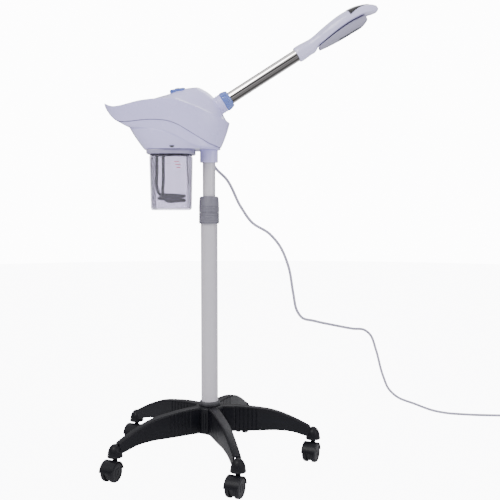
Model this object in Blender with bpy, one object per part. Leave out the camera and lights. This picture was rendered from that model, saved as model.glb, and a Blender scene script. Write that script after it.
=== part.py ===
"""Facial steamer on a rolling star base: a boiler head with a clear jar, a raised arm and a spray head.

Metres, +Z up. The floor is z = 0 and the object's box is centred on x = y = 0.
The pole stands at (POLE_X, POLE_Y). The arm points along +X and the beak of the head along -X.
"""

import math

import bmesh
import bpy
import numpy as np

# ---- Fits -------------------------------------------------------------------------------------
GAP = 0.0003
RUNNING_GAP = 0.0004

# ---- Base -------------------------------------------------------------------------------------
POLE_X = -0.0675
POLE_Y = 0.0120
LEG_COUNT = 5
STEM_CIRCLE = 0.2266
WHEEL_RADIUS = 0.0206
WHEEL_WIDTH = 0.0100
AXLE_RADIUS = 0.003
HOOD_GAP = 0.0006
HOOD_WALL = 0.0014
WEB_THICKNESS = 0.0100
CASTOR_TRAIL = 0.014
CASTOR_HEADING = math.radians(-112.0)
STEM_RADIUS = 0.004
STEM_LENGTH = 0.018
STEM_NECK = 0.0035
DOME_RADIUS = 0.0158
DOME_HEIGHT = 0.027
HUB_RADIUS = 0.033
HUB_HEIGHT = 0.0745
LEG_WIDTH_ROOT = 0.0236
LEG_WIDTH_TIP = 0.0168
LEG_WALL = 0.0032
LEG_BEVEL = 0.0035
POLE_SEAT_DEPTH = 0.052

# ---- Mast -------------------------------------------------------------------------------------
POLE_RADIUS = 0.0182
POLE_WALL = 0.0015
POLE_LENGTH = 0.4724
FOOT_RING_WIDTH = 0.0045
FOOT_RING_HEIGHT = 0.009
COLLAR_WALL = 0.0036
COLLAR_RADIUS = POLE_RADIUS + GAP + COLLAR_WALL
COLLAR_HEIGHT = 0.0239
NUT_HEIGHT = 0.0346
THREAD_HEIGHT = 0.015
BUSH_LENGTH = 0.065
BUSH_WALL = 0.0023
MAST_RADIUS = POLE_RADIUS - POLE_WALL - RUNNING_GAP - BUSH_WALL - GAP
NUT_TOP_RADIUS = MAST_RADIUS + 0.0070
MAST_WALL = 0.0015
MAST_SHOWN = 0.0721
MAST_INSERTED = 0.31
MAST_IN_HEAD = 0.060

# ---- Head, heights above the foot of its pole socket ------------------------------------------
SHELL_WALL = 0.0024
SOCKET_RADIUS = MAST_RADIUS + 0.0058
SPIGOT_RADIUS = MAST_RADIUS + 0.0024
SOCKET_TOP = 0.045
BOTTOM_HEIGHT = 0.027
RIDGE_CENTRE = -0.090
RIDGE_HALF_LENGTH = 0.135
RIDGE_HALF_WIDTH = 0.087
LIP_CENTRE = -0.0955
LIP_HALF_LENGTH = 0.1220
LIP_HALF_WIDTH = 0.0825
LIP_GROOVE = 0.0013
LIP_GAP = 0.0011
HUMP_CENTRE = -0.030
TEARDROP_POWER = 0.25

# ---- Jar and boiler ---------------------------------------------------------------------------
JAR_HALF_WIDTH = 0.0440
JAR_CORNER = 0.013
JAR_DRAFT = 0.0022
JAR_WALL = 0.0026
JAR_HEIGHT = 0.119
JAR_NECK_RADIUS = JAR_HALF_WIDTH - 0.0025
JAR_NECK_HEIGHT = 0.0125
JAR_LUG = 0.0025
JAR_RING_HALF_WIDTH = JAR_HALF_WIDTH + 0.0065
JAR_X = -(SOCKET_RADIUS + JAR_RING_HALF_WIDTH + 0.0110)
JAR_RING_CORNER = 0.018
JAR_RING_HEIGHT = 0.0095
JAR_FLANGE_HEIGHT = 0.003
GASKET_HEIGHT = 0.002
PLATE_THICKNESS = 0.005
ELEMENT_RADIUS = 0.0034
COIL_RADIUS = 0.625 * JAR_HALF_WIDTH
COIL_START = math.radians(212.0)
COIL_SWEEP = math.radians(640.0)
COIL_PITCH = 0.0088
COIL_DEPTH = JAR_HEIGHT - 0.019
ELEMENT_TOP = 0.012
PROBE_RADIUS = 0.0015
PROBE_LENGTH = JAR_HEIGHT - 0.039
STEAM_HOLE_RADIUS = 0.0100
DUCT_RADIUS = 0.0118
DUCT_WALL = 0.0018
CUTOUT_RADIUS = 0.0080
LAMP_TUBE_RADIUS = 0.0068
LAMP_TUBE_LENGTH = 0.048
SIDE_PLACE = (0.004, 0.026)

# ---- Lower shell, built round the jar's opening and the pole socket ---------------------------
PLATE_RADIUS = JAR_NECK_RADIUS + JAR_LUG
CAVITY_RADIUS = PLATE_RADIUS + GAP
FLOOR_RIGHT = SOCKET_RADIUS
FLOOR_LEFT = JAR_X - CAVITY_RADIUS - 0.0125
FLOOR_CENTRE = (FLOOR_LEFT + FLOOR_RIGHT) / 2
FLOOR_HALF_LENGTH = (FLOOR_RIGHT - FLOOR_LEFT) / 2
FLOOR_HALF_WIDTH = CAVITY_RADIUS + 0.0112
KNEE_RIGHT = FLOOR_RIGHT + 0.0045
KNEE_LEFT = FLOOR_LEFT - 0.0340
KNEE_CENTRE = (KNEE_LEFT + KNEE_RIGHT) / 2
KNEE_HALF_LENGTH = (KNEE_RIGHT - KNEE_LEFT) / 2
KNEE_HALF_WIDTH = FLOOR_HALF_WIDTH + 0.0105

# ---- Arm, along its own axis from the pole's centre line --------------------------------------
ARM_HEIGHT = 0.1081
ARM_ANGLE = math.radians(32.4)
TUBE_RADIUS = 0.0131
NECK_RADIUS = TUBE_RADIUS + 0.0072
NECK_START = 0.004
NECK_END = 0.0375
NECK_THREAD_RADIUS = TUBE_RADIUS + 0.0045
NECK_THREAD_LENGTH = 0.009
NECK_FLANGE = 0.004
ARM_NUT_LENGTH = 0.0175
ARM_NUT_RADIUS = TUBE_RADIUS + 0.0077
ARM_NUT_END_RADIUS = TUBE_RADIUS + 0.0039
ARM_NUT_LOBES = 8
TUBE_WALL = 0.001
TUBE_START = 0.012
TUBE_SHOWN = 0.168
TUBE_GRIP = 0.014
SEAL_LENGTH = 0.005

# ---- Spray head, along the arm's axis from its rim --------------------------------------------
SPRAY_WALL = 0.0022
SPRAY_COLLAR = TUBE_RADIUS + 0.0032
SPRAY_DUCT_RADIUS = 0.009
GRILLE_LENGTH = 0.052
GRILLE_WIDTH = 0.030
GRILLE_THICKNESS = 0.002
GRILLE_BARS = 6
WINDOW_THICKNESS = 0.0012

# ---- Controls ---------------------------------------------------------------------------------
PANEL_LENGTH = 0.034
PANEL_WIDTH = 0.056
PANEL_THICKNESS = 0.0075
PANEL_TILT = math.radians(9.8)
PANEL_X = -0.0655
PANEL_TOP = 0.1546
BUTTON_RADIUS = 0.0055
BUTTON_RISE = 0.0025
BUTTON_LENGTH = 0.0100
BUTTON_TRAVEL = 0.002
BUTTON_SPACING = 0.030
BOARD_DROP = 0.0085
BOARD_SIZE = (0.048, 0.050, 0.0016)
MODULE_SIZE = (0.026, 0.034, 0.016)
MODULE_X = -0.006
LAMP_RADIUS = 0.0022

# ---- Supply cord ------------------------------------------------------------------------------
CORD_RADIUS = 0.00325
RELIEF_LENGTH = 0.027
COIL_MIDDLE_RADIUS = 0.036
COIL_CENTRE = (0.800, 0.318)
COIL_LAYERS = 2
PLUG_LENGTH = 0.036
PLUG_WIDTH = 0.0255
PLUG_THICKNESS = 0.0138
PLUG_BOOT = 0.018
PLUG_BOOT_RADIUS = 0.0044
PIN_RADIUS = 0.0020
PIN_LENGTH = 0.019
PIN_SPACING = 0.0186

# ---- Smoothness -------------------------------------------------------------------------------
ROUND_SEGMENTS = 24
SMALL_SEGMENTS = 16
HEAD_SEGMENTS = 40
SPRAY_SEGMENTS = 24


# ================================ Small geometry tools =========================================
def through(points, x):
    """A smooth curve through hand-chosen (x, value) points, read at x."""
    points = np.array(sorted(points), float)
    px, py = points[:, 0], points[:, 1]
    slopes = np.gradient(py, px)
    x = np.clip(x, px[0], px[-1])
    index = np.clip(np.searchsorted(px, x) - 1, 0, len(px) - 2)
    width = px[index + 1] - px[index]
    t = (x - px[index]) / width
    start = (2 * t**3 - 3 * t**2 + 1) * py[index] + (t**3 - 2 * t**2 + t) * width * slopes[index]
    end = (3 * t**2 - 2 * t**3) * py[index + 1] + (t**3 - t**2) * width * slopes[index + 1]
    return start + end


def signed_power(value, power):
    """The power of a number's size, with the number's own sign."""
    return np.sign(value) * np.abs(value) ** power


def around(count):
    """Evenly spaced angles of one full turn."""
    return np.arange(count) * 2 * math.pi / count


def spline(points, count):
    """Evenly spaced points on a smooth curve through the given points."""
    points = np.array(points, float)
    steps = np.linalg.norm(np.diff(points, axis=0), axis=1)
    knots = np.concatenate([[0.0], np.cumsum(steps)])
    fine = np.linspace(0.0, knots[-1], 40 * len(points))
    curve = np.stack([through(list(zip(knots, points[:, k])), fine) for k in range(3)], axis=1)
    run = np.concatenate([[0.0], np.cumsum(np.linalg.norm(np.diff(curve, axis=0), axis=1))])
    even = np.linspace(0.0, run[-1], count)
    return np.stack([np.interp(even, run, curve[:, k]) for k in range(3)], axis=1)


# ================================ Materials and objects ========================================
def make_material(name, colour, roughness, metallic=0.0, alpha=1.0, transmission=0.0):
    """A Principled material with the part's colour, roughness and metal value."""
    material = bpy.data.materials.new(name)
    material.use_nodes = True
    shader = material.node_tree.nodes["Principled BSDF"]
    shader.inputs["Base Color"].default_value = (*colour, 1.0)
    shader.inputs["Roughness"].default_value = roughness
    shader.inputs["Metallic"].default_value = metallic
    shader.inputs["Alpha"].default_value = alpha
    shader.inputs["Transmission Weight"].default_value = transmission
    return material


def make_object(name, points, faces, material, parent=None):
    """A mesh object whose faces point outwards."""
    mesh = bpy.data.meshes.new(name)
    mesh.from_pydata([tuple(map(float, p)) for p in points], [], faces)
    work = bmesh.new()
    work.from_mesh(mesh)
    bmesh.ops.remove_doubles(work, verts=work.verts, dist=1e-6)
    bmesh.ops.recalc_face_normals(work, faces=work.faces)
    if work.calc_volume(signed=True) < 0:
        bmesh.ops.reverse_faces(work, faces=work.faces)
    work.to_mesh(mesh)
    work.free()
    mesh.shade_smooth()
    mesh.set_sharp_from_angle(angle=math.radians(38))
    obj = bpy.data.objects.new(name, mesh)
    bpy.context.collection.objects.link(obj)
    if material:
        mesh.materials.append(material)
    if parent:
        obj.parent = parent
    return obj


def make_empty(name, location, parent=None, rotation=(0.0, 0.0, 0.0)):
    """An empty that carries the pieces of one moving body on its joint's axis."""
    empty = bpy.data.objects.new(name, None)
    empty.empty_display_size = 0.02
    empty.location = location
    empty.rotation_euler = rotation
    bpy.context.collection.objects.link(empty)
    if parent:
        empty.parent = parent
    return empty


def skin(name, rings, material, parent=None, loop=False):
    """A solid skinned over rings of equal point counts.

    The first and last rings are capped, or joined to each other when loop is set.
    """
    rings = [np.asarray(ring, float) for ring in rings]
    count = len(rings[0])
    points = np.concatenate(rings)
    faces = []
    for low in range(len(rings) if loop else len(rings) - 1):
        high = (low + 1) % len(rings)
        for k in range(count):
            after = (k + 1) % count
            faces.append((low * count + k, low * count + after, high * count + after, high * count + k))
    if not loop:
        faces.append(tuple(range(count))[::-1])
        last = (len(rings) - 1) * count
        faces.append(tuple(range(last, last + count)))
    return make_object(name, points, faces, material, parent)


def turned(name, profile, material, parent=None, hollow=False, segments=ROUND_SEGMENTS, along="z"):
    """A solid of revolution: profile is (radius, height) points, a closed outline when hollow.

    A profile that ends flat on the axis leaves that end to one flat cap.
    """
    if not hollow and profile[0][0] == 0.0 and profile[0][1] == profile[1][1]:
        profile = profile[1:]
    if not hollow and profile[-1][0] == 0.0 and profile[-1][1] == profile[-2][1]:
        profile = profile[:-1]
    angle = around(segments)
    rings = []
    for radius, height in profile:
        ring = (radius * np.cos(angle), radius * np.sin(angle), np.full(segments, height))
        rings.append(np.stack((ring[2], ring[0], ring[1]) if along == "x" else ring, axis=1))
    return skin(name, rings, material, parent, loop=hollow)


def tube(name, outer, inner, low, high, material, parent=None, segments=ROUND_SEGMENTS, along="z"):
    """A plain tube between two heights."""
    profile = [(outer, low), (outer, high), (inner, high), (inner, low)]
    return turned(name, profile, material, parent, hollow=True, segments=segments, along=along)


def box(name, centre, size, material=None, parent=None):
    """A box by its centre and its full size."""
    corners = np.array([(x, y, z) for x in (-1, 1) for y in (-1, 1) for z in (-1, 1)]) / 2
    points = corners * np.array(size) + np.array(centre)
    faces = [(0, 1, 3, 2), (4, 6, 7, 5), (0, 4, 5, 1), (2, 3, 7, 6), (0, 2, 6, 4), (1, 5, 7, 3)]
    return make_object(name, points, faces, material, parent)


def swept_rings(path, radii, sides):
    """Circles of the given radii carried along a path without twisting."""
    path = np.asarray(path, float)
    tangents = np.gradient(path, axis=0)
    tangents /= np.linalg.norm(tangents, axis=1)[:, None]
    side = np.cross(tangents[0], (0.0, 1.0, 0.013))
    side /= np.linalg.norm(side)
    rings = []
    for point, tangent, radius in zip(path, tangents, radii):
        side = side - tangent * side.dot(tangent)
        side /= np.linalg.norm(side)
        other = np.cross(tangent, side)
        angle = around(sides)[:, None]
        rings.append(point + radius * (np.cos(angle) * side + np.sin(angle) * other))
    return rings


def rounded_square(half, corner, count):
    """Points round a square with rounded corners, by angle from its centre."""
    angle = around(count) + math.pi / count
    cos, sin = np.cos(angle), np.sin(angle)
    power = 2.0 * half / corner
    reach = (np.abs(cos) ** power + np.abs(sin) ** power) ** (-1.0 / power)
    return np.stack([half * reach * cos, half * reach * sin], axis=1)


def at_height(outline, height, centre=(0.0, 0.0)):
    """A flat outline placed at one height."""
    return np.column_stack([outline + np.array(centre), np.full(len(outline), height)])


def combine(target, other, operation):
    """Adds other to target, or cuts it away, and keeps other as a hidden helper."""
    modifier = target.modifiers.new(other.name, "BOOLEAN")
    modifier.operation = operation
    modifier.solver = "EXACT"
    modifier.object = other
    other.hide_render = True
    other.display_type = "WIRE"


def cut(target, cutter):
    combine(target, cutter, "DIFFERENCE")


def join(target, other):
    combine(target, other, "UNION")


# ================================ Derived heights ==============================================
HOOD_RADIUS = WHEEL_RADIUS + HOOD_GAP + HOOD_WALL
CASTOR_WIDTH = WEB_THICKNESS + 2 * GAP + 2 * WHEEL_WIDTH
BOSS_TOP = 2 * WHEEL_RADIUS + HOOD_GAP + HOOD_WALL
LIP_Z = BOSS_TOP + STEM_NECK
HUB_TOP = LIP_Z + HUB_HEIGHT
POLE_FOOT = HUB_TOP - POLE_SEAT_DEPTH
POLE_TOP = POLE_FOOT + POLE_LENGTH
COLLAR_FOOT = POLE_TOP - COLLAR_HEIGHT
NUT_FOOT = POLE_TOP + GAP
NUT_TOP = NUT_FOOT + NUT_HEIGHT
HEAD_Z = NUT_TOP + MAST_SHOWN
RING_FOOT = BOTTOM_HEIGHT - JAR_RING_HEIGHT - GAP
JAR_SHOULDER = RING_FOOT - GAP
JAR_MOUTH = JAR_SHOULDER + JAR_NECK_HEIGHT
GASKET_FOOT = JAR_MOUTH + GAP
PLATE_FOOT = GASKET_FOOT + GASKET_HEIGHT + GAP
PLATE_TOP = PLATE_FOOT + PLATE_THICKNESS
TUBE_END = NECK_END + ARM_NUT_LENGTH + TUBE_SHOWN + TUBE_GRIP
SPRAY_START = TUBE_END - TUBE_GRIP


# ================================ Base =========================================================
LEG_DROP = [(0.0, 0.0), (0.39, 0.003), (0.66, 0.0135), (0.80, 0.026), (0.90, 0.037), (1.0, 0.0495)]
LEG_RISE = [(0.0, 0.0180), (0.45, 0.0195), (0.66, 0.0205), (0.80, 0.0170), (0.93, 0.0080), (1.0, 0.0045)]


def leg_top(reach):
    """Height of a leg's top edge above the dome lips, at a distance from the pole."""
    return HUB_HEIGHT - through(LEG_DROP, reach / STEM_CIRCLE)


def leg_bottom(reach):
    """Height of a leg's underside above the dome lips, at a distance from the pole."""
    return through(LEG_RISE, reach / STEM_CIRCLE)


def leg_section(reach, inset, below):
    """One cross-section of a leg: straight sides with bevelled top edges."""
    share = reach / STEM_CIRCLE
    half = (LEG_WIDTH_ROOT + (LEG_WIDTH_TIP - LEG_WIDTH_ROOT) * share) / 2 - inset
    top = LIP_Z + leg_top(reach) - inset
    bottom = LIP_Z + leg_bottom(reach) - below
    bevel = LEG_BEVEL
    outline = [(-half, bottom), (half, bottom), (half, top - bevel), (half - bevel, top)]
    outline += [(bevel - half, top), (-half, top - bevel)]
    return np.array([(reach, y, z) for y, z in outline])


def build_star_base(material, base):
    """The moulded five-legged base: hub, hollow legs, domes over the castor stems."""
    boss_foot = LIP_Z + 0.008
    hub = [(0.0, boss_foot), (0.009, boss_foot), (0.012, boss_foot + 0.004), (0.012, LIP_Z + 0.016)]
    hub += [(HUB_RADIUS - 0.003, LIP_Z + 0.016), (HUB_RADIUS, LIP_Z + 0.019)]
    hub += [(HUB_RADIUS, HUB_TOP - 0.004), (HUB_RADIUS - 0.004, HUB_TOP), (0.0, HUB_TOP)]
    star = turned("star_base", hub, material, base)
    for k in range(LEG_COUNT):
        turn = (0.0, 0.0, k * 2 * math.pi / LEG_COUNT)
        reaches = [0.012, *np.linspace(HUB_RADIUS + 0.004, STEM_CIRCLE - 0.004, 7)]
        leg = skin(f"leg_{k}_form", [leg_section(r, 0.0, 0.0) for r in reaches], None, base)
        leg.rotation_euler = turn
        join(star, leg)
    for k in range(LEG_COUNT):
        angle = k * 2 * math.pi / LEG_COUNT
        dome = [(0.0, LIP_Z), (DOME_RADIUS, LIP_Z), (DOME_RADIUS - 0.0006, LIP_Z + 0.004)]
        dome += [((DOME_RADIUS - 0.0008) * math.cos(a), LIP_Z + 0.005 + (DOME_HEIGHT - 0.005) * math.sin(a))
                 for a in np.radians([15, 40, 65])]
        dome += [(0.0, LIP_Z + DOME_HEIGHT)]
        form = turned(f"dome_{k}_form", dome, None, base, segments=18)
        form.location = (STEM_CIRCLE * math.cos(angle), STEM_CIRCLE * math.sin(angle), 0.0)
        join(star, form)
    for k in range(LEG_COUNT):
        reaches = np.linspace(HUB_RADIUS + 0.008, STEM_CIRCLE - DOME_RADIUS - 0.004, 4)
        channel = skin(f"channel_{k}_cut", [leg_section(r, LEG_WALL, 0.012) for r in reaches], None, base)
        channel.rotation_euler = (0.0, 0.0, k * 2 * math.pi / LEG_COUNT)
        cut(star, channel)
    for k in range(LEG_COUNT):
        angle = k * 2 * math.pi / LEG_COUNT
        height = LIP_Z - STEM_NECK + STEM_LENGTH + GAP
        socket = turned(f"stem_socket_{k}_cut", [(0.0, LIP_Z - 0.01), (STEM_RADIUS + GAP, LIP_Z - 0.01),
                        (STEM_RADIUS + GAP, height), (0.0, height)], None, base, segments=12)
        socket.location = (STEM_CIRCLE * math.cos(angle), STEM_CIRCLE * math.sin(angle), 0.0)
        cut(star, socket)
    seat = [(0.0, POLE_FOOT - GAP), (POLE_RADIUS + GAP, POLE_FOOT - GAP)]
    seat += [(POLE_RADIUS + GAP, HUB_TOP + 0.02), (0.0, HUB_TOP + 0.02)]
    cut(star, turned("pole_seat_cut", seat, None, base))


def build_castor(number, finish, base):
    """A hooded twin-wheel castor: the housing swivels on its stem and the wheels turn on one axle."""
    angle = (number - 1) * 2 * math.pi / LEG_COUNT
    foot = (STEM_CIRCLE * math.cos(angle), STEM_CIRCLE * math.sin(angle), 0.0)
    swivel = make_empty(f"castor_{number}_swivel_axis", foot, base, (0.0, 0.0, CASTOR_HEADING))
    rolling = make_empty(f"castor_{number}_roll_axis", (CASTOR_TRAIL, 0.0, WHEEL_RADIUS), swivel)

    stem_top = BOSS_TOP + STEM_LENGTH
    boss = WEB_THICKNESS / 2
    post = [(0.0, WHEEL_RADIUS), (boss, WHEEL_RADIUS), (boss, BOSS_TOP), (STEM_RADIUS, BOSS_TOP)]
    post += [(STEM_RADIUS, stem_top), (0.0, stem_top)]
    housing = turned(f"castor_{number}_housing", post, finish["castor"], swivel, segments=SMALL_SEGMENTS)
    arc = np.radians(np.linspace(6, 174, 10))
    outline = [(HOOD_RADIUS * math.cos(a), HOOD_RADIUS * math.sin(a)) for a in arc]
    inner = HOOD_RADIUS - HOOD_WALL
    outline += [(inner * math.cos(a), inner * math.sin(a)) for a in arc[::-1]]
    hood = extrude_across(f"hood_{number}_form", outline, CASTOR_WIDTH, swivel)
    web = extrude_across(f"web_{number}_form", web_outline(), WEB_THICKNESS, swivel)
    join(housing, hood)
    join(housing, web)
    bore = AXLE_RADIUS + GAP
    cut(housing, extrude_across(f"axle_bore_{number}_cut", circle(bore, 12), 3 * WEB_THICKNESS, swivel))

    half_web = WEB_THICKNESS / 2 + GAP
    outer = half_web + WHEEL_WIDTH
    for side, name in ((1, "left"), (-1, "right")):
        rim = [(AXLE_RADIUS + GAP, half_web), (WHEEL_RADIUS, half_web)]
        rim += [(WHEEL_RADIUS, outer - 0.005), (WHEEL_RADIUS - 0.0016, outer - 0.0014)]
        rim += [(WHEEL_RADIUS - 0.005, outer), (AXLE_RADIUS + GAP, outer - 0.0015)]
        wheel = turned(f"castor_{number}_wheel_{name}", [(r, side * w) for r, w in rim], finish["wheel"],
                       rolling, hollow=True, segments=24)
        wheel.rotation_euler = (math.pi / 2, 0.0, 0.0)
    reach = outer - 0.002
    axle = [(0.0, -reach), (AXLE_RADIUS, -reach), (AXLE_RADIUS, reach), (0.0, reach)]
    pin = turned(f"castor_{number}_axle", axle, finish["steel"], rolling, segments=12)
    pin.rotation_euler = (math.pi / 2, 0.0, 0.0)


def circle(radius, count):
    """Points of a circle in a wheel's plane."""
    return [(radius * math.cos(a), radius * math.sin(a)) for a in around(count)]


def web_outline():
    """The housing's web: a disc that runs up into the hood and forward to the stem's boss."""
    radius = WHEEL_RADIUS - 0.003
    low = [(radius * math.cos(a), radius * math.sin(a)) for a in np.radians(np.linspace(200, 340, 6))]
    reach = HOOD_RADIUS - HOOD_WALL / 2
    high = [(reach * math.cos(a), reach * math.sin(a)) for a in np.radians(np.linspace(10, 170, 7))]
    return low + high


def extrude_across(name, outline, width, swivel):
    """A flat outline in the wheel's plane, extruded along the axle."""
    rings = [[(CASTOR_TRAIL + x, y, WHEEL_RADIUS + z) for x, z in outline] for y in (-width / 2, width / 2)]
    return skin(name, rings, None, swivel)


# ================================ Mast =========================================================
def build_mast(finish, base, clamp, swivel, head):
    """The fixed lower pole, its collar and clamp nut, the bush and the sliding upper pole."""
    tube("lower_pole", POLE_RADIUS, POLE_RADIUS - POLE_WALL, POLE_FOOT, POLE_TOP, finish["pole"], base)
    ring = HUB_TOP + GAP
    bore = POLE_RADIUS + GAP
    foot = [(bore, ring), (bore + FOOT_RING_WIDTH, ring)]
    foot += [(bore + FOOT_RING_WIDTH, ring + FOOT_RING_HEIGHT * 0.6)]
    foot += [(bore + FOOT_RING_WIDTH * 0.5, ring + FOOT_RING_HEIGHT), (bore, ring + FOOT_RING_HEIGHT)]
    turned("pole_foot_ring", foot, finish["rubber"], base, hollow=True)

    thread = COLLAR_RADIUS - 0.0038
    sleeve = [(bore, COLLAR_FOOT), (COLLAR_RADIUS - 0.001, COLLAR_FOOT), (COLLAR_RADIUS, COLLAR_FOOT + 0.001)]
    sleeve += [(COLLAR_RADIUS, POLE_TOP), (thread, POLE_TOP), (thread, POLE_TOP + THREAD_HEIGHT)]
    sleeve += [(MAST_RADIUS + GAP, POLE_TOP + THREAD_HEIGHT), (MAST_RADIUS + GAP, POLE_TOP + GAP)]
    sleeve += [(bore, POLE_TOP + GAP)]
    turned("collar_sleeve", sleeve, finish["collar"], base, hollow=True)

    nut_bore = thread + GAP
    step = THREAD_HEIGHT + GAP
    nut = [(nut_bore, 0.0), (COLLAR_RADIUS, 0.0), (COLLAR_RADIUS, NUT_HEIGHT * 0.45)]
    nut += [(COLLAR_RADIUS - 0.0007, NUT_HEIGHT * 0.50), (COLLAR_RADIUS - 0.0004, NUT_HEIGHT * 0.54)]
    nut += [(NUT_TOP_RADIUS, NUT_HEIGHT - 0.004), (NUT_TOP_RADIUS - 0.003, NUT_HEIGHT)]
    nut += [(MAST_RADIUS + GAP, NUT_HEIGHT), (MAST_RADIUS + GAP, step), (nut_bore, step)]
    turned("clamp_nut", nut, finish["collar"], clamp, hollow=True)

    sleeve_radius = POLE_RADIUS - POLE_WALL - RUNNING_GAP
    tube("pole_bush", sleeve_radius, MAST_RADIUS + GAP, POLE_TOP - BUSH_LENGTH - 0.004, POLE_TOP - 0.004,
         finish["nylon"], swivel)
    tube("upper_pole", MAST_RADIUS, MAST_RADIUS - MAST_WALL, -MAST_SHOWN - NUT_HEIGHT - MAST_INSERTED,
         MAST_IN_HEAD, finish["mast"], head)


# ================================ Head shells ==================================================
RIDGE_LINE = [(-0.225, 0.1275), (-0.205, 0.1190), (-0.188, 0.1185), (-0.165, 0.1220), (-0.140, 0.1262),
              (-0.115, 0.1282), (-0.090, 0.1290), (-0.070, 0.1277), (-0.050, 0.1220), (-0.025, 0.1130),
              (0.005, 0.1003), (0.030, 0.0900), (0.045, 0.0845)]
HUMP_LINE = [(-0.225, 0.0), (-0.190, -0.0020), (-0.150, -0.0010), (-0.125, 0.0035), (-0.105, 0.0100),
             (-0.080, 0.0184), (-0.052, 0.0345), (-0.036, 0.0425), (-0.022, 0.0481), (-0.008, 0.0478),
             (0.004, 0.0447), (0.014, 0.0385), (0.024, 0.0285), (0.031, 0.0130), (0.038, 0.0030), (0.045, 0.0)]
LIP_LINE = [(-0.218, 0.1090), (-0.211, 0.1020), (-0.202, 0.0935), (-0.193, 0.0878), (-0.180, 0.0850),
            (-0.160, 0.0850), (-0.126, 0.0868), (-0.100, 0.0860), (-0.080, 0.0833), (-0.060, 0.0762),
            (-0.040, 0.0647), (-0.015, 0.0497), (0.005, 0.0385), (0.023, 0.0320)]
KNEE_LINE = [(-0.172, 0.0785), (-0.160, 0.0725), (-0.130, 0.0692), (-0.100, 0.0655), (-0.075, 0.0575),
             (-0.050, 0.0452), (-0.030, 0.0350), (-0.010, 0.0298), (0.021, 0.0285)]


def teardrop(angle, centre, half_length, half_width):
    """A plan outline that is blunt at +X and narrows to a beak at -X."""
    x = centre + half_length * np.cos(angle)
    y = half_width * np.sin(angle) * ((1 + np.cos(angle)) / 2) ** TEARDROP_POWER
    return x, y


def oval(angle, centre, half_length, half_width, power):
    """A plan outline between an ellipse and a rectangle."""
    x = centre + half_length * signed_power(np.cos(angle), 2 / power)
    y = half_width * signed_power(np.sin(angle), 2 / power)
    return x, y


def ridge_width(x):
    """Half the head's width at the ridge, at a place along it."""
    share = np.clip((x - RIDGE_CENTRE) / RIDGE_HALF_LENGTH, -1, 1)
    return RIDGE_HALF_WIDTH * np.sqrt(1 - share**2) * ((1 + share) / 2) ** TEARDROP_POWER


def deck_height(x, y):
    """Height of the head's top surface: the ridge's height with the hump standing on it."""
    share = np.clip(np.abs(y) / np.maximum(ridge_width(x), 1e-4), 0, 1)
    return through(RIDGE_LINE, x) + through(HUMP_LINE, x) * (1 - share**2) ** 1.5


def deck_rings(count, inset):
    """Rings of the head's top from near its middle out to the ridge."""
    angle = around(HEAD_SEGMENTS)
    edge_x, edge_y = teardrop(angle, RIDGE_CENTRE, RIDGE_HALF_LENGTH - 3.2 * inset, RIDGE_HALF_WIDTH - inset)
    rings = []
    for share in np.linspace(0.0, 1.0, count + 1)[1:] ** 0.9:
        x = HUMP_CENTRE + share * (edge_x - HUMP_CENTRE)
        y = share * edge_y
        rings.append(np.stack([x, y, deck_height(x, y) - 1.05 * inset], axis=1))
    return rings


def lip_ring(inset, lower):
    """The parting line between the upper and lower shells, moved inwards and down."""
    angle = around(HEAD_SEGMENTS)
    x, y = teardrop(angle, LIP_CENTRE, LIP_HALF_LENGTH - 1.6 * inset, LIP_HALF_WIDTH - inset)
    return np.stack([x, y, through(LIP_LINE, x) - lower], axis=1)


def between(ring_a, ring_b, share, bulge, centre_x):
    """A ring part of the way from one ring to another, swollen away from the head's middle line."""
    ring = ring_a + (ring_b - ring_a) * share
    swell = 1 + bulge * 4 * share * (1 - share)
    ring[:, 0] = centre_x + (ring[:, 0] - centre_x) * swell
    ring[:, 1] *= swell
    return ring


def build_upper_shell(finish, head):
    """The white top cover with its beak, hump and side band."""
    outer = deck_rings(10, 0.0)
    outer_lip = lip_ring(0.0, 0.0)
    band = [between(outer[-1], outer_lip, share, 0.012, LIP_CENTRE) for share in (0.33, 0.67)]
    inner = deck_rings(6, SHELL_WALL)
    inner_lip = lip_ring(SHELL_WALL, 0.0)
    inner_band = [between(inner[-1], inner_lip, 0.5, 0.012, LIP_CENTRE)]
    rings = outer + band + [outer_lip, inner_lip] + inner_band + inner[::-1]
    shell = skin("upper_shell", rings, finish["shell"], head)

    hole = [(0.0, NECK_START), (NECK_RADIUS + GAP, NECK_START), (NECK_RADIUS + GAP, 0.06), (0.0, 0.06)]
    cutter = turned("neck_hole_cut", hole, None, head, along="x")
    cutter.location = (0.0, 0.0, ARM_HEIGHT)
    cutter.rotation_euler = (0.0, -ARM_ANGLE, 0.0)
    cut(shell, cutter)
    pocket = panel_slab("panel_pocket_cut", GAP, None, head)
    cut(shell, pocket)
    return shell


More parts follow.
